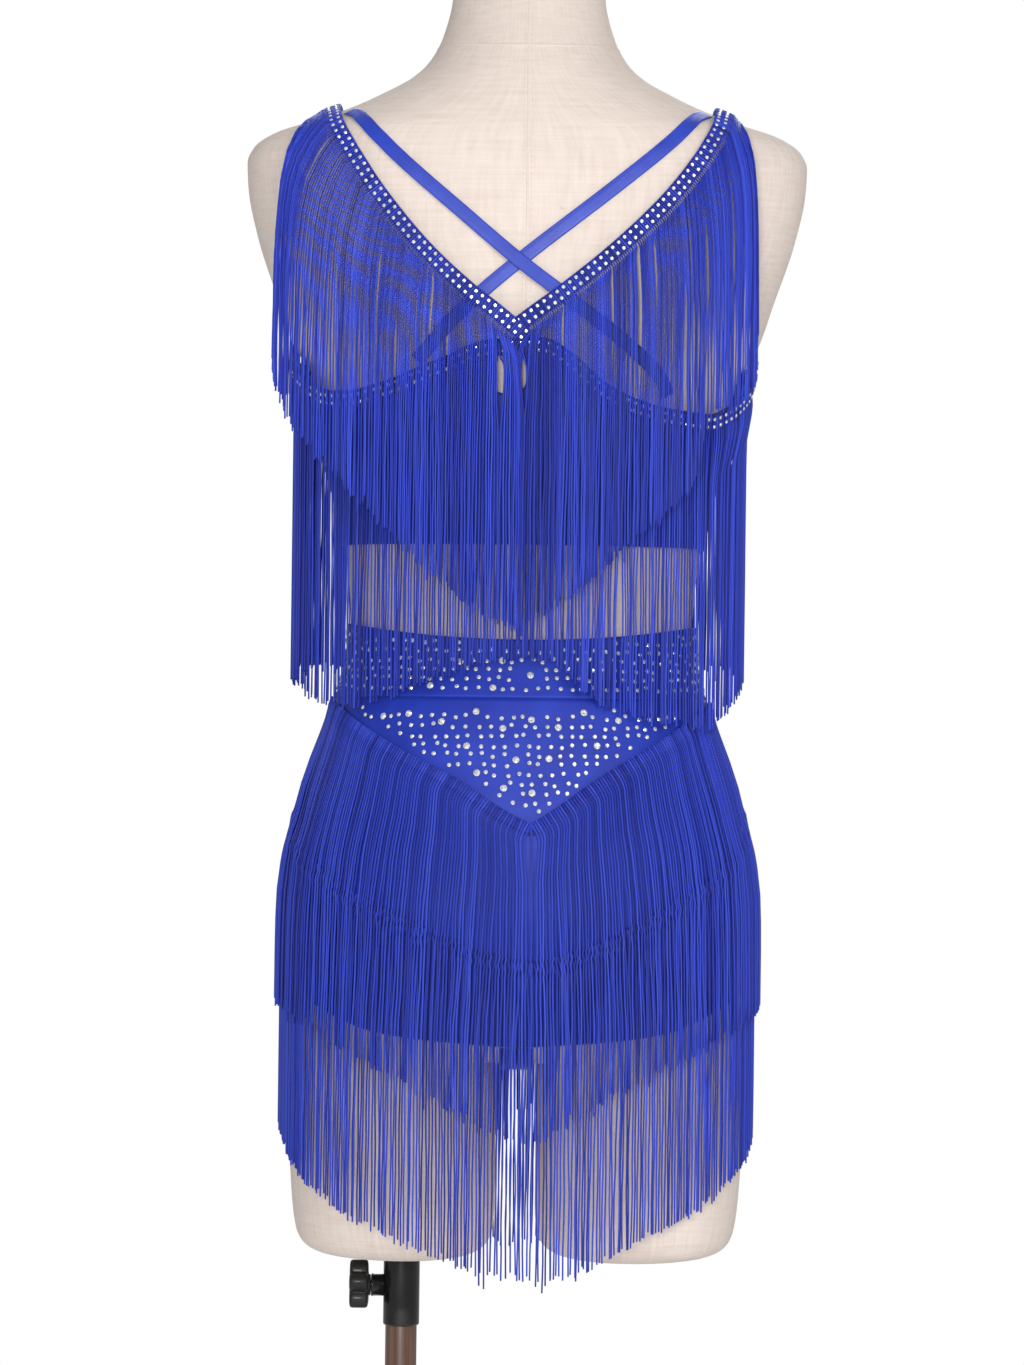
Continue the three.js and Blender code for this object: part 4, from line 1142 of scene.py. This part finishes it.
def keyhole_cutter():
    """A bar that runs through the back, with the keyhole's rounded outline."""
    left, right, low, high, corner = KEYHOLE.values()
    turn = np.linspace(0, math.pi / 2, 9) + np.arange(4)[:, None] * math.pi / 2
    way_x, way_z = np.array([[1, -1, -1, 1], [1, 1, -1, -1]])[..., None]
    x = np.where(way_x > 0, right, left) + corner * (np.cos(turn) - way_x)
    z = np.where(way_z > 0, high, low) + corner * (np.sin(turn) - way_z)
    rim = np.stack([x, np.zeros_like(x), z], -1).reshape(-1, 3)
    return closed_rings("keyhole", np.stack([rim + [0, -200, 0], rim]))


def bodice_back():
    turns = half_turns("back", 150, 160)[None]
    shares = np.linspace(0, 1, 58)[:, None]
    z = BAND_BOTTOM + shares * (bodice_edge(turns) - BAND_BOTTOM)
    turns = turns + np.zeros_like(z)
    lumps = 0.5 * crease(turns, z, BAND_BOTTOM, 1215)
    back = panel("bodice_back_cloth", turns, z, bodice_section, lumps, 8, 5)
    cut(back, keyhole_cutter())
    back.data.shade_smooth()
    dress_sheet(back, SPANDEX, "spandex", "bodice_back")


def side_name(side):
    return "left" if side < 0 else "right"


def bodice_front(side):
    neck, arm = (column(FRONT_HALF, "z", name) for name in ("neck", "arm"))
    levels = np.unique(np.concatenate([np.linspace(1105, 1222, 40), np.linspace(1222, 1399.6, 62)]))
    shares = np.linspace(0, 1, 61)[None]
    z = levels[:, None] + np.zeros_like(shares)
    section = bodice_section(z)
    clear = SEAM_GAP / 2
    inner = np.arccos((np.maximum(neck(z), clear) / section[0]) ** (section[3] / 2))
    outer = np.maximum(np.radians(arm(z)), clear / section[0])
    turn = inner + (outer - inner) * shares
    start = on_section(section, turn, z)
    lumps = 0.35 * crease(turn, z, BAND_BOTTOM, 1380)
    walls = []
    for out in (CLOTH_GAP + CLOTH_THICK + lumps, CLOTH_GAP + np.zeros_like(lumps)):
        place = settle(start, out, bodice_section)[0]
        place[..., 0] = side * np.maximum(place[..., 0], clear)
        place[..., 1] = np.maximum(place[..., 1], clear)
        walls.append(place)
    node = f"bodice_front_{side_name(side)}"
    front = cloth_wall(f"{node}_cloth", *walls, measure(walls[0]))
    dress_sheet(front, SPANDEX, "spandex", node)


def band_top(turn):
    """The height of the waistband's upper edge."""
    return mix(WAIST_SIDE, WAIST_MIDDLE, np.sin(turn) ** 2)


def waistband(side):
    turns = half_turns(side, 130, WAIST_SIDE / 9)[None]
    z = FOLD + np.linspace(0, 1, 26)[:, None] * (band_top(turns) - FOLD)
    turns = turns + np.zeros_like(z)
    lumps = 0.35 * crease(turns, z, FOLD, WAIST_SIDE)
    roll = 0.35 * (1 - ramp(z - FOLD, 0, 3)) - 0.5 * (1 - ramp(z - FOLD, 0, 0.8))
    band = panel(f"waistband_{side}_cloth", turns, z, form_section, lumps + roll)
    dress_sheet(band, SPANDEX, "spandex", f"waistband_{side}")


def briefs(side):
    turns = half_turns(side, 130, 140)[None]
    low = leg_curve(from_side(turns))
    z = low + np.linspace(0, 1, 90)[:, None] * (FOLD - FOLD_GAP - low)
    turns = turns + np.zeros_like(z)
    lumps = 0.3 * crease(turns, z, 800, FOLD - 8)
    shorts = panel(f"briefs_{side}_cloth", turns, z, form_section, lumps, 6)
    dress_sheet(shorts, SPANDEX, "spandex", f"briefs_{side}")


def gusset():
    y, z = values(GUSSET_LINE, "y", "z")
    path = through(np.stack([np.zeros_like(y), y, z], -1))(np.linspace(0, 1, 90))
    run = unit(np.gradient(path, axis=0))
    normal = np.stack([np.zeros(len(path)), run[:, 2], -run[:, 1]], -1)
    across = np.linspace(-GUSSET_WIDTH / 2, GUSSET_WIDTH / 2, 15)
    inner = path[None] + across[:, None, None] * [1.0, 0, 0]
    outer = inner + normal[None] * CLOTH_THICK
    piece = cloth_wall("briefs_gusset_cloth", outer, inner, measure(outer))
    dress_sheet(piece, SPANDEX, "spandex", "briefs_gusset")


# A strap's size, and where its line of stitches runs, as a share of its width from the middle.
STRAP = {"width": 9.6, "gap": 1.2, "thick": 0.82, "seam": 0.34, "passing": 34}


def strap(name, rows, over):
    """An elastic strap. over is how far it rises where it passes over the other one."""
    curve = through(on_back(rows))
    shares, length = evenly(curve, 0, 1, np.linspace(0, 1, 160))
    place, normal = settle(curve(shares), 0.0)
    across = unit(np.cross(normal, unit(np.gradient(place, axis=0))))
    lift = STRAP["gap"] + over * (1 - ramp(np.abs(place[:, 0]), 0, STRAP["passing"]))
    width = np.linspace(-0.5, 0.5, 13)
    groove = 0.14 * np.exp(-(((width + STRAP["seam"]) / 0.05) ** 2))
    crown = STRAP["thick"] + 0.18 * (1 - np.abs(width * 2) ** 6) - groove
    aside = width * STRAP["width"]
    base = place[None] + across[None] * aside[:, None, None]
    outer = base + normal[None] * (lift[None, :] + crown[:, None])[..., None]
    inner = base + normal[None] * lift[None, :, None]
    band = cloth_wall(f"{name}_elastic", outer, inner, pairs((shares * length)[None], aside[:, None]))
    line = place - across * STRAP["seam"] * STRAP["width"] + normal * (STRAP["thick"] + lift)[:, None]
    thread = stitches(f"{name}_stitches", line, normal, 2.7, 2.0, 0.14, 0.0)
    dress(thread, ELASTIC, "elastic", "form")
    dress_sheet(band, ELASTIC, "elastic", name)


# ---------------------------------------------------------------- fringe

# How far down a strand its points are: close together at its bend, then at even shares of the
# rest. Where a trim lies on another one, the points are close together there too.
BEND_POINTS = [0, 2.5, 4.5, 7, 11, 17]
EVEN_SHARES = np.linspace(0, 1, 11)[1:]
RIPPLE_POINTS = np.arange(68, 108, 3.2)
HEADER_POINTS = 4
HEADER_THICK = 0.9


def lumpy(count, seed, reach):
    """A smooth random value for each strand, alike over about reach neighbours."""
    source = np.random.default_rng(seed).normal(size=count + 8 * reach)
    kernel = np.exp(-0.5 * (np.arange(-3 * reach, 3 * reach + 1) / reach) ** 2)
    soft = np.convolve(source, kernel / np.sqrt((kernel**2).sum()), mode="same")
    return soft[4 * reach : 4 * reach + count]


# How far strands stray sideways: with near and farther neighbours, late in their fall, alone, and
# in slow waves that are this long.
STRAY = {"near": 0.55, "far": 0.45, "late": 0.6, "own": 0.35, "wave": 0.25, "long": 11}


def wander(count, drop, seed):
    """How far strands stray sideways: neighbours bunch together more and more as they fall."""
    bunches = STRAY["near"] * lumpy(count, seed, 2) + STRAY["far"] * lumpy(count, seed + 1, 5)
    late = STRAY["late"] * lumpy(count, seed + 2, 1)
    own = STRAY["own"] * np.random.default_rng(seed + 3).normal(size=count)
    s = drop / 200
    sway = bunches[:, None] * ramp(s, 0.03, 0.8) + (late + own)[:, None] * ramp(s, 0.25, 1.0)
    phase = np.random.default_rng(seed + 4).uniform(0, 2 * math.pi, (count, 1))
    return sway + STRAY["wave"] * np.sin(drop / STRAY["long"] + phase) * ramp(s, 0.1, 0.5)


# Slits: a trim's length for each, how wide they are, over what drop they open and close, and how
# soon the push on their neighbours fades.
PARTING = {"each": 13, "least": 0.4, "more": 1.3, "opens": 22, "closes": 30, "fades": 4.5}


def pushed_apart(offset, width, opened):
    """How far strands at an offset from a slit are pushed, where it is opened this much."""
    return 0.5 * width * opened * np.sign(offset) * np.exp(-np.abs(offset) / PARTING["fades"])


def partings(count, pitch, drop, seed):
    """Slits at random places along a trim, each open over a part of the drop."""
    rng = np.random.default_rng(seed)
    total = np.zeros_like(drop)
    for _ in range(int(count * pitch / PARTING["each"])):
        offset = (np.arange(count) - rng.uniform(0, count))[:, None] * pitch
        width = PARTING["least"] + PARTING["more"] * rng.uniform() ** 1.6
        start = rng.uniform(2, 120)
        end = start + rng.uniform(30, 120)
        opened = ramp(drop, start, start + PARTING["opens"])
        opened = opened * (1 - ramp(drop, end, end + PARTING["closes"]))
        total += pushed_apart(offset, width, opened)
    return total


def slit_push(falls, rows):
    """Opens the slits of a table in a fringe at the back."""
    x, z = falls[..., 0], falls[..., 2]
    at_back = falls[:, :, 1].mean(1) < 0
    push = np.zeros_like(x)
    for row in rows:
        low, high = row["low"], row["high"]
        nearest = np.argmin(np.abs(z - (high + low) / 2), axis=1)
        offset = (x[np.arange(len(x)), nearest] - row["x"])[:, None]
        opened = ramp(z, low - 14, low + 2) * (1 - ramp(z, high - 2, high + 10))
        push += pushed_apart(offset, row["width"], opened)
    return push * at_back[:, None]


# The strands' ends: how uneven they are and within which bounds, above which share they hang
# lower, and by how much.
ENDS = {"uneven": 2.0, "short": -6, "long": 4, "stray_above": 0.975, "stray": (3, 9), "up": 1.5}


def strand_lengths(count, seed, drop):
    rng = np.random.default_rng(seed)
    ends = rng.normal(0, ENDS["uneven"], count).clip(ENDS["short"], ENDS["long"])
    ends += lumpy(count, seed + 9, 12)
    strays = rng.uniform(size=count) > ENDS["stray_above"]
    lower = np.where(strays, rng.uniform(*ENDS["stray"], count), 0)
    return drop + ends + lower - ENDS["up"]


def fine_drops(lengths):
    """Distances below the header at which a strand's line is worked out."""
    shares = np.linspace(0, 1, 60) ** 1.4
    return shares[None] * (lengths[:, None] + 12)


def resampled(lines, lengths, ripple, sideways=1.0):
    """Each line cut at its length, with points where they are needed.

    sideways is how much of its way aside counts as length.
    """
    each = np.diff(lines, axis=1)
    step = mix(np.abs(each[..., 2]), np.linalg.norm(each, axis=2), sideways)
    run = np.concatenate([np.zeros((len(lines), 1)), np.cumsum(step, 1)], 1)
    extra = RIPPLE_POINTS if ripple else []
    result = []
    for line, along, length in zip(lines, run, lengths):
        even = BEND_POINTS[-1] + EVEN_SHARES * (length - BEND_POINTS[-1])
        at = np.sort(np.concatenate([BEND_POINTS, even, extra]))
        result.append(np.stack([np.interp(at, along, line[:, k]) for k in range(3)], -1))
    return np.stack(result)


def bent_from_header(falls, root, down, normal, drop):
    """Strands leave their header square to it, and then bend and hang."""
    leave = root[:, None] + down[:, None] * drop[..., None] + normal[:, None] * 0.3
    return falls + (leave - falls) * np.exp(-np.maximum(drop - 2.0, 0) / 2.6)[..., None]


def header_lines(middle, down, normal, width, out):
    """The loops across a header tape, from its top edge to its lower edge."""
    shares = np.linspace(-0.5, 0.5, HEADER_POINTS + 1)[:-1]
    rise = out * np.array([0.2] + [1.0] * (HEADER_POINTS - 1))
    return (
        middle[:, None] + down[:, None] * (shares * width)[None, :, None]
        + normal[:, None] * rise[None, :, None]
    )


def header_band(name, middle, down, normal, width, closed):
    """The tape under the loops."""
    shares = np.linspace(-0.5, 0.5, 5)
    if closed:
        middle, down, normal = (np.concatenate([a, a[:1]]) for a in (middle, down, normal))
    grid = middle[None] + down[None] * (shares * width)[:, None, None]
    outer = grid + normal[None] * 0.15
    inner = grid - normal[None] * (HEADER_THICK - 0.15)
    return cloth_wall(name, outer, inner, measure(outer))


# How the strands of a trim differ in shade, alone and with their neighbours; loops and tape.
SHADE = {"usual": 0.54, "alone": 0.2, "together": 0.06, "least": 0.15, "tape": 0.05}

LOOP = {"share": 0.37, "rise": 0.45}


def fringe(name, frames, falls, size, seed, closed):
    """One trim: its tape, and strands that loop over it and fall from its lower edge."""
    middle, down, normal, run = frames
    over = header_lines(middle, down, normal, size["width"], LOOP["rise"])
    lines = np.concatenate([over, falls], 1)
    rng = np.random.default_rng(seed + 20)
    count = len(middle)
    own, shared = rng.normal(size=count), lumpy(count, seed + 21, 3)
    shade = SHADE["usual"] + SHADE["alone"] * own + SHADE["together"] * shared
    tint = np.clip(shade, SHADE["least"], 1)
    loops = np.full(HEADER_POINTS, size["pitch"] * LOOP["share"])
    thick = np.concatenate([loops, np.full(falls.shape[1], STRAND_RADIUS)])
    strands = tubes(f"{name}_strands", lines, run, thick[None], tint=tint)
    band = header_band(f"{name}_tape", middle, down, normal, size["width"], closed)
    tinted(band.data, np.full(len(band.data.vertices), SHADE["tape"]))
    dress(joined(f"{name}_look", [strands, band]), STRAND, "fringe", "form", name)


def ring_frames(size, section_at, height_at):
    """Where each strand of a trim right round the body crosses its tape."""
    out = size["gap"] + 0.8

    def place_at(turn):
        z = height_at(turn)
        return on_section(section_at(z), turn, z, out)

    length = evenly(place_at, -math.pi, math.pi, [0.5])[1]
    count = int(length / size["pitch"])
    turns = evenly(place_at, -math.pi, math.pi, (np.arange(count) + 0.5) / count)[0]
    middle = place_at(turns)
    run = unit(place_at(turns + 0.01) - place_at(turns - 0.01))
    normal = unit(gradient(section_at, middle))
    down = unit(np.cross(run, normal))
    down *= np.where(down[:, 2:] > 0, -1, 1)
    return turns, (middle, down, normal, run)


def hang_depth(count, seed):
    """How much further out or in each strand hangs than its layer."""
    rng = np.random.default_rng(seed)
    depth = 0.5 * rng.normal(size=(count, 1)) + 0.45 * lumpy(count, seed + 1, 4)[:, None]
    return depth.clip(-0.4, 1.3)


def over_tape(z, line, out, stray, turns, seed):
    """Strands ride over the tape below them, where the line is, and ripple on its loops."""
    near = np.exp(-(((z - line) / 6.5) ** 2))
    phase = 40 * turns + 1.5 * lumpy(len(z), seed, 3)[:, None]
    ridden = out + near * (0.9 + 0.5 * np.sin(z / 1.6 + phase))
    return ridden, stray + 0.75 * near * np.sin(z / 1.35 + phase)


def ring_fringe(name, size, section_at, height_at, seed, ripple_at=None, slits=()):
    """A trim right round the body. ripple_at is the line of a tape that its strands pass."""
    turns, frames = ring_frames(size, section_at, height_at)
    middle, down, normal, _ = frames
    count = len(turns)
    root = middle + down * size["width"] / 2
    z0 = root[:, 2]
    ahead = on_section(section_at(z0), turns + 0.005, z0)
    behind = on_section(section_at(z0), turns - 0.005, z0)
    rate = (np.linalg.norm(ahead - behind, axis=1) / 0.01)[:, None]
    away = np.sum(down * unit(ahead - behind), 1)[:, None]
    lengths = strand_lengths(count, seed, size["drop"])
    drop = fine_drops(lengths)
    z = z0[:, None] - drop
    stray = wander(count, drop, seed) + partings(count, size["pitch"], drop, seed + 40)
    back_again = 3.5 * ramp(drop, 6, 34) * (np.abs(away) < 0.75)
    stray += away * (size["width"] / 2 + 3 * ramp(drop, 0, 6) - back_again)
    section = np.maximum.accumulate(section_at(z), axis=2)
    hung = size["layer"] + hang_depth(count, seed + 30)
    out = mix(size["gap"] + 0.9, hung, ramp(drop, 0, size["ease"]))
    if ripple_at is not None:
        line = ripple_at(turns)[:, None]
        out, stray = over_tape(z, line, out, stray, turns[:, None], seed + 50)
    falls = on_section(section, turns[:, None] + stray / rate, z, out)
    falls[..., 0] += slit_push(falls, slits)
    if size is CHEST:
        lean = CHEST_LEAN["most"] * ramp(falls[..., 0], CHEST_LEAN["from"], CHEST_LEAN["to"])
        falls[..., 0] -= lean * ramp(drop, CHEST_LEAN["high"], CHEST_LEAN["low"])
    falls = bent_from_header(falls, root, down, normal, drop)
    falls = resampled(falls, lengths, ripple_at is not None)
    fringe(name, frames, falls, size, seed, True)


def neck_line(side):
    """The neck trim's line on one side, from the back V over the shoulder to the front V."""
    rows = [dict(row) for row in NECK_LINE]
    if side < 0:
        for row in (rows[0], rows[-1]):
            row["x"] -= NECK_OVERLAP["x"]
            row["z"] -= NECK_OVERLAP["drop"]
    points = []
    for row in rows:
        is_back = row["side"] == "back"
        x = side * row["x"]
        if is_back:
            x += NECK_SHIFT["x"] * (1 - ramp(row["z"], NECK_SHIFT["from"], NECK_SHIFT["to"]))
        reach = 0.0 if row["side"] == "top" else depth_at(x, row["z"], is_back)
        points.append((x, -reach if is_back else reach, row["z"]))
    curve = through(points)
    shares = np.linspace(0, 1, len(rows))
    gap_at = column([{"share": s, "gap": r["gap"]} for s, r in zip(shares, rows)], "share", "gap")

    def line_at(share):
        raw = curve(share)
        past = np.abs(raw[..., 0] - np.where(raw[..., 1] < 0, NECK_SHIFT["x"], 0))
        lift = (side < 0) * NECK_OVERLAP["lift"] * (1 - ramp(past, 10, NECK_OVERLAP["long"]))
        return (*settle(raw, gap_at(share) + 0.8 + lift), lift)

    return line_at


def neck_frames(side):
    line_at = neck_line(side)

    def place_at(share):
        return line_at(share)[0]

    length = evenly(place_at, 0, 1, [0.5])[1]
    count = int(length / NECK["pitch"])
    shares = evenly(place_at, 0, 1, (np.arange(count) + 0.5) / count)[0]
    middle, normal, lift = line_at(shares)
    run = unit(place_at(np.minimum(shares + 0.004, 1)) - place_at(np.maximum(shares - 0.004, 0)))
    down = unit(np.cross(run, normal))
    down *= np.where(down @ np.array([side, 0, -1]) < 0, -1, 1)[:, None]
    is_back = np.arange(count) < np.argmax(middle[:, 2])
    return is_back, lift[:, None], (middle, down, normal, run)


def neck_sideways(side, middle, is_back, fine):
    """How far neck strands move sideways as they fall: outward, and inward next to the Vs."""
    swing = column(NECK_SWING, "z", side_name(side))(middle[:, 2])
    fan = NECK_FAN["slope"] * (NECK_FAN["long"] - np.abs(middle[:, 1]))
    swing += np.clip(fan, 0, NECK_FAN["most"])
    from_point = np.abs(middle[:, 0] - np.where(is_back, NECK_SHIFT["x"], 0))
    inward = 4.5 * np.exp(-((from_point / 13) ** 2))
    outward = swing[:, None] * (1 - np.exp(-fine / NECK["swing"]))
    return side * (outward - inward[:, None] * ramp(fine, 3, 26))


def eased_out(depth, passes):
    """Rounds off how far out strands hang, without ever bringing them in."""
    soft = depth.copy()
    for _ in range(passes):
        soft[:, 1:-1] = np.maximum(depth[:, 1:-1], (soft[:, :-2] + soft[:, 2:]) / 2)
    return soft


def neck_fringe(side, seed):
    is_back, lift, frames = neck_frames(side)
    middle, down, normal, _ = frames
    count = len(middle)
    root = middle + down * NECK["width"] / 2
    way = np.where(is_back, -1, 1)[:, None]
    layer = NECK["layer"] + NECK["shoulder"] * ramp(middle[:, 2:], 1340, 1395) + lift
    layer = layer + hang_depth(count, seed + 30)
    shorter = column(NECK_SHORTER, "z", side_name(side))(middle[:, 2])
    lengths = strand_lengths(count, seed, NECK["drop"]) - shorter
    fine = fine_drops(lengths)
    stray = 0.9 * wander(count, fine, seed) + partings(count, NECK["pitch"], fine, seed + 40)
    x = root[:, :1] + neck_sideways(side, middle, is_back, fine) + stray
    z = root[:, 2:] - fine
    out = mix(6.4 + lift, layer, ramp(fine, 0, NECK["ease"]))
    reached = np.maximum(
        depth_at(x, z, way < 0, form_section, out), depth_at(x, z, way < 0, chest_hang, out)
    )
    reached[:, 0] = np.maximum(reached[:, 0], root[:, 1] * way[:, 0])
    depth = eased_out(np.maximum.accumulate(reached, axis=1), 6)
    near = np.exp(-(((z - chest_height(np.arctan2(way * depth, x))) / 7) ** 2))
    falls = np.stack([x, way * (depth + 0.6 * near), z], -1)
    falls[..., 0] += slit_push(falls, SLITS)
    falls = bent_from_header(falls, root, down, normal, fine)
    falls = resampled(falls, lengths, False, NECK["sideways"])
    fringe(f"fringe_neck_{side_name(side)}", frames, falls, NECK, seed, False)


# ---------------------------------------------------------------- rhinestones


# Each ring of a stone: its radius, height, twist in sides and shade, which is painted shade, dark at
# the base where the stone meets the cloth. The first two are shares of the stone's radius.
STONE_RINGS = [
    (1.0, 0.0, 0.0, 0.0), (1.0, 0.14, 0.0, 0.35), (0.86, 0.36, 0.5, 1.0), (0.5, 0.6, 0.0, 1.0),
]


def stones(name, places, normals, radii):
    """Faceted flat-backed stones as one mesh."""
    sides = 8
    angle = 2 * math.pi * (np.arange(sides) + 0.5) / sides
    count = len(places)
    upright_ones = np.abs(normals[:, 2:]) > 0.9
    side = unit(np.cross(normals, np.where(upright_ones, [[1.0, 0, 0]], [[0, 0, 1.0]])))
    other = np.cross(normals, side)
    spin = np.random.default_rng(5).uniform(0, 1, (count, 1))
    rings = []
    for reach, height, twist, _ in STONE_RINGS:
        turn = angle[None] + spin * 2 + twist * 2 * math.pi / sides
        flat = np.cos(turn)[..., None] * side[:, None] + np.sin(turn)[..., None] * other[:, None]
        out = flat * reach + normals[:, None] * height
        rings.append(places[:, None] + radii[:, None, None] * out)
    points = np.concatenate(rings, 1)
    ends = np.arange(sides)[::-1], np.arange(sides) + (len(rings) - 1) * sides
    caps = []
    for ring in ends:
        for k in (0, 2, 4):
            caps.append([ring[0], ring[k + 1], ring[k + 2], ring[k + 3] if k < 4 else -1])
    one = np.concatenate([grid_faces(len(rings), sides, closed=True), np.array(caps)])
    faces = copied_faces(one, count, points.shape[1])
    # Painted shade for each ring, dark at the stone's base.
    shade = np.tile(np.repeat([row[3] for row in STONE_RINGS], sides), count)
    return mesh_object(name, points.reshape(-1, 3), faces, smooth=False, tint=shade)


def trim_stones(name, frames, size):
    """Two rows of small stones along a header tape, in the grooves between its loops."""
    middle, down, normal, _ = frames
    length = run_of(middle)
    at = np.arange(1.5, len(middle) - 1, 3) * length[-1] / (len(middle) - 1)

    def between(vectors):
        return np.stack([np.interp(at, length, vectors[:, k]) for k in range(3)], -1)

    centre, lower, up = between(middle), unit(between(down)), unit(between(normal))
    rows = [centre + lower * way * size["width"] * 0.25 + up * 0.95 for way in (-1, 1)]
    places = np.concatenate(rows)
    radii = np.full(len(places), STONE_RADIUS["trim"])
    dress(stones(name, places, np.concatenate([up, up]), radii), STONE, "fringe", "form")


def scattered(low_at, high_at, seed):
    """Turns and heights of small stones set in staggered, slightly uneven rows."""
    rng = np.random.default_rng(seed)
    turns, heights = [], []
    levels = np.arange(YOKE_STONES["bottom"], YOKE_STONES["top"], YOKE_STONES["row"])
    for row, z in enumerate(levels):

        def place_at(turn):
            return on_section(form_section(z), turn, z)

        length = evenly(place_at, -math.pi, math.pi, [0.5])[1]
        count = int(length / YOKE_STONES["apart"])
        shares = (np.arange(count) + 0.5 * (row % 2) + rng.uniform(-0.2, 0.2, count)) / count
        turn = evenly(place_at, -math.pi, math.pi, shares % 1)[0]
        level = z + rng.uniform(-1.4, 1.4, count)
        inside = (level > low_at(turn)) & (level < high_at(turn))
        turns.append(turn[inside])
        heights.append(level[inside])
    return np.concatenate(turns), np.concatenate(heights)


def large_stones():
    """Places of the large stones on the form, at the back and mirrored to the front."""
    x, height = values(LARGE_STONES, "x", "z")
    sides = []
    for is_back in (True, False):
        reach = depth_at(x, height, is_back)
        sides.append(np.stack([x if is_back else -x, -reach if is_back else reach, height], -1))
    places = np.concatenate(sides)
    above_trim = places[:, 2] > upper_height(np.arctan2(places[:, 1], places[:, 0])) + 7
    return places[above_trim & (np.abs(places[:, 2] - FOLD) > 3.2)]


def yoke_stones():
    """Stones on the waistband and on the yoke of the briefs, above the upper hip trim."""
    band = scattered(lambda turn: FOLD + 4, lambda turn: band_top(turn) - 4, 11)
    yoke = scattered(lambda turn: upper_height(turn) + 8, lambda turn: FOLD - 8.5, 12)
    turn, z = (np.concatenate(both) for both in zip(band, yoke))
    surface = on_section(form_section(z), turn, z)
    large = large_stones()
    near = np.linalg.norm(surface[:, None] - large[None], axis=2).min(1)
    small = surface[near > YOKE_STONES["clear"]]
    points = np.concatenate([small, large])
    radii = np.repeat([STONE_RADIUS["small"], STONE_RADIUS["large"]], [len(small), len(large)])
    places, normals = settle(points, CLOTH_GAP + CLOTH_THICK + 0.12 + np.zeros(len(points)))
    dress(stones("yoke_stones", places, normals, radii), STONE, "spandex", "form")


# ---------------------------------------------------------------- the whole

add_camera()
add_lights()
add_world()
floor()
stand()
collar()
knob()
dress_form()
form_seams()
bodice_back()
for way in (-1, 1):
    bodice_front(way)
strap("strap_left", STRAP_LEFT, 1.6)
strap("strap_right", STRAP_RIGHT, 0.0)
for face in ("back", "front"):
    waistband(face)
    briefs(face)
gusset()
ring_fringe("fringe_hip_lower", HIP_LOWER, form_section, lower_height, seed=300)
ring_fringe(
    "fringe_hip_upper", HIP_UPPER, form_section, upper_height, seed=200, ripple_at=lower_height
)
ring_fringe("fringe_chest", CHEST, bodice_section, chest_height, seed=100, slits=CHEST_SLITS)
neck_fringe(-1, seed=400)
neck_fringe(1, seed=500)
trim_stones("chest_stones", ring_frames(CHEST, bodice_section, chest_height)[1], CHEST)
for way in (-1, 1):
    trim_stones(f"neck_{side_name(way)}_stones", neck_frames(way)[2], NECK)
yoke_stones()
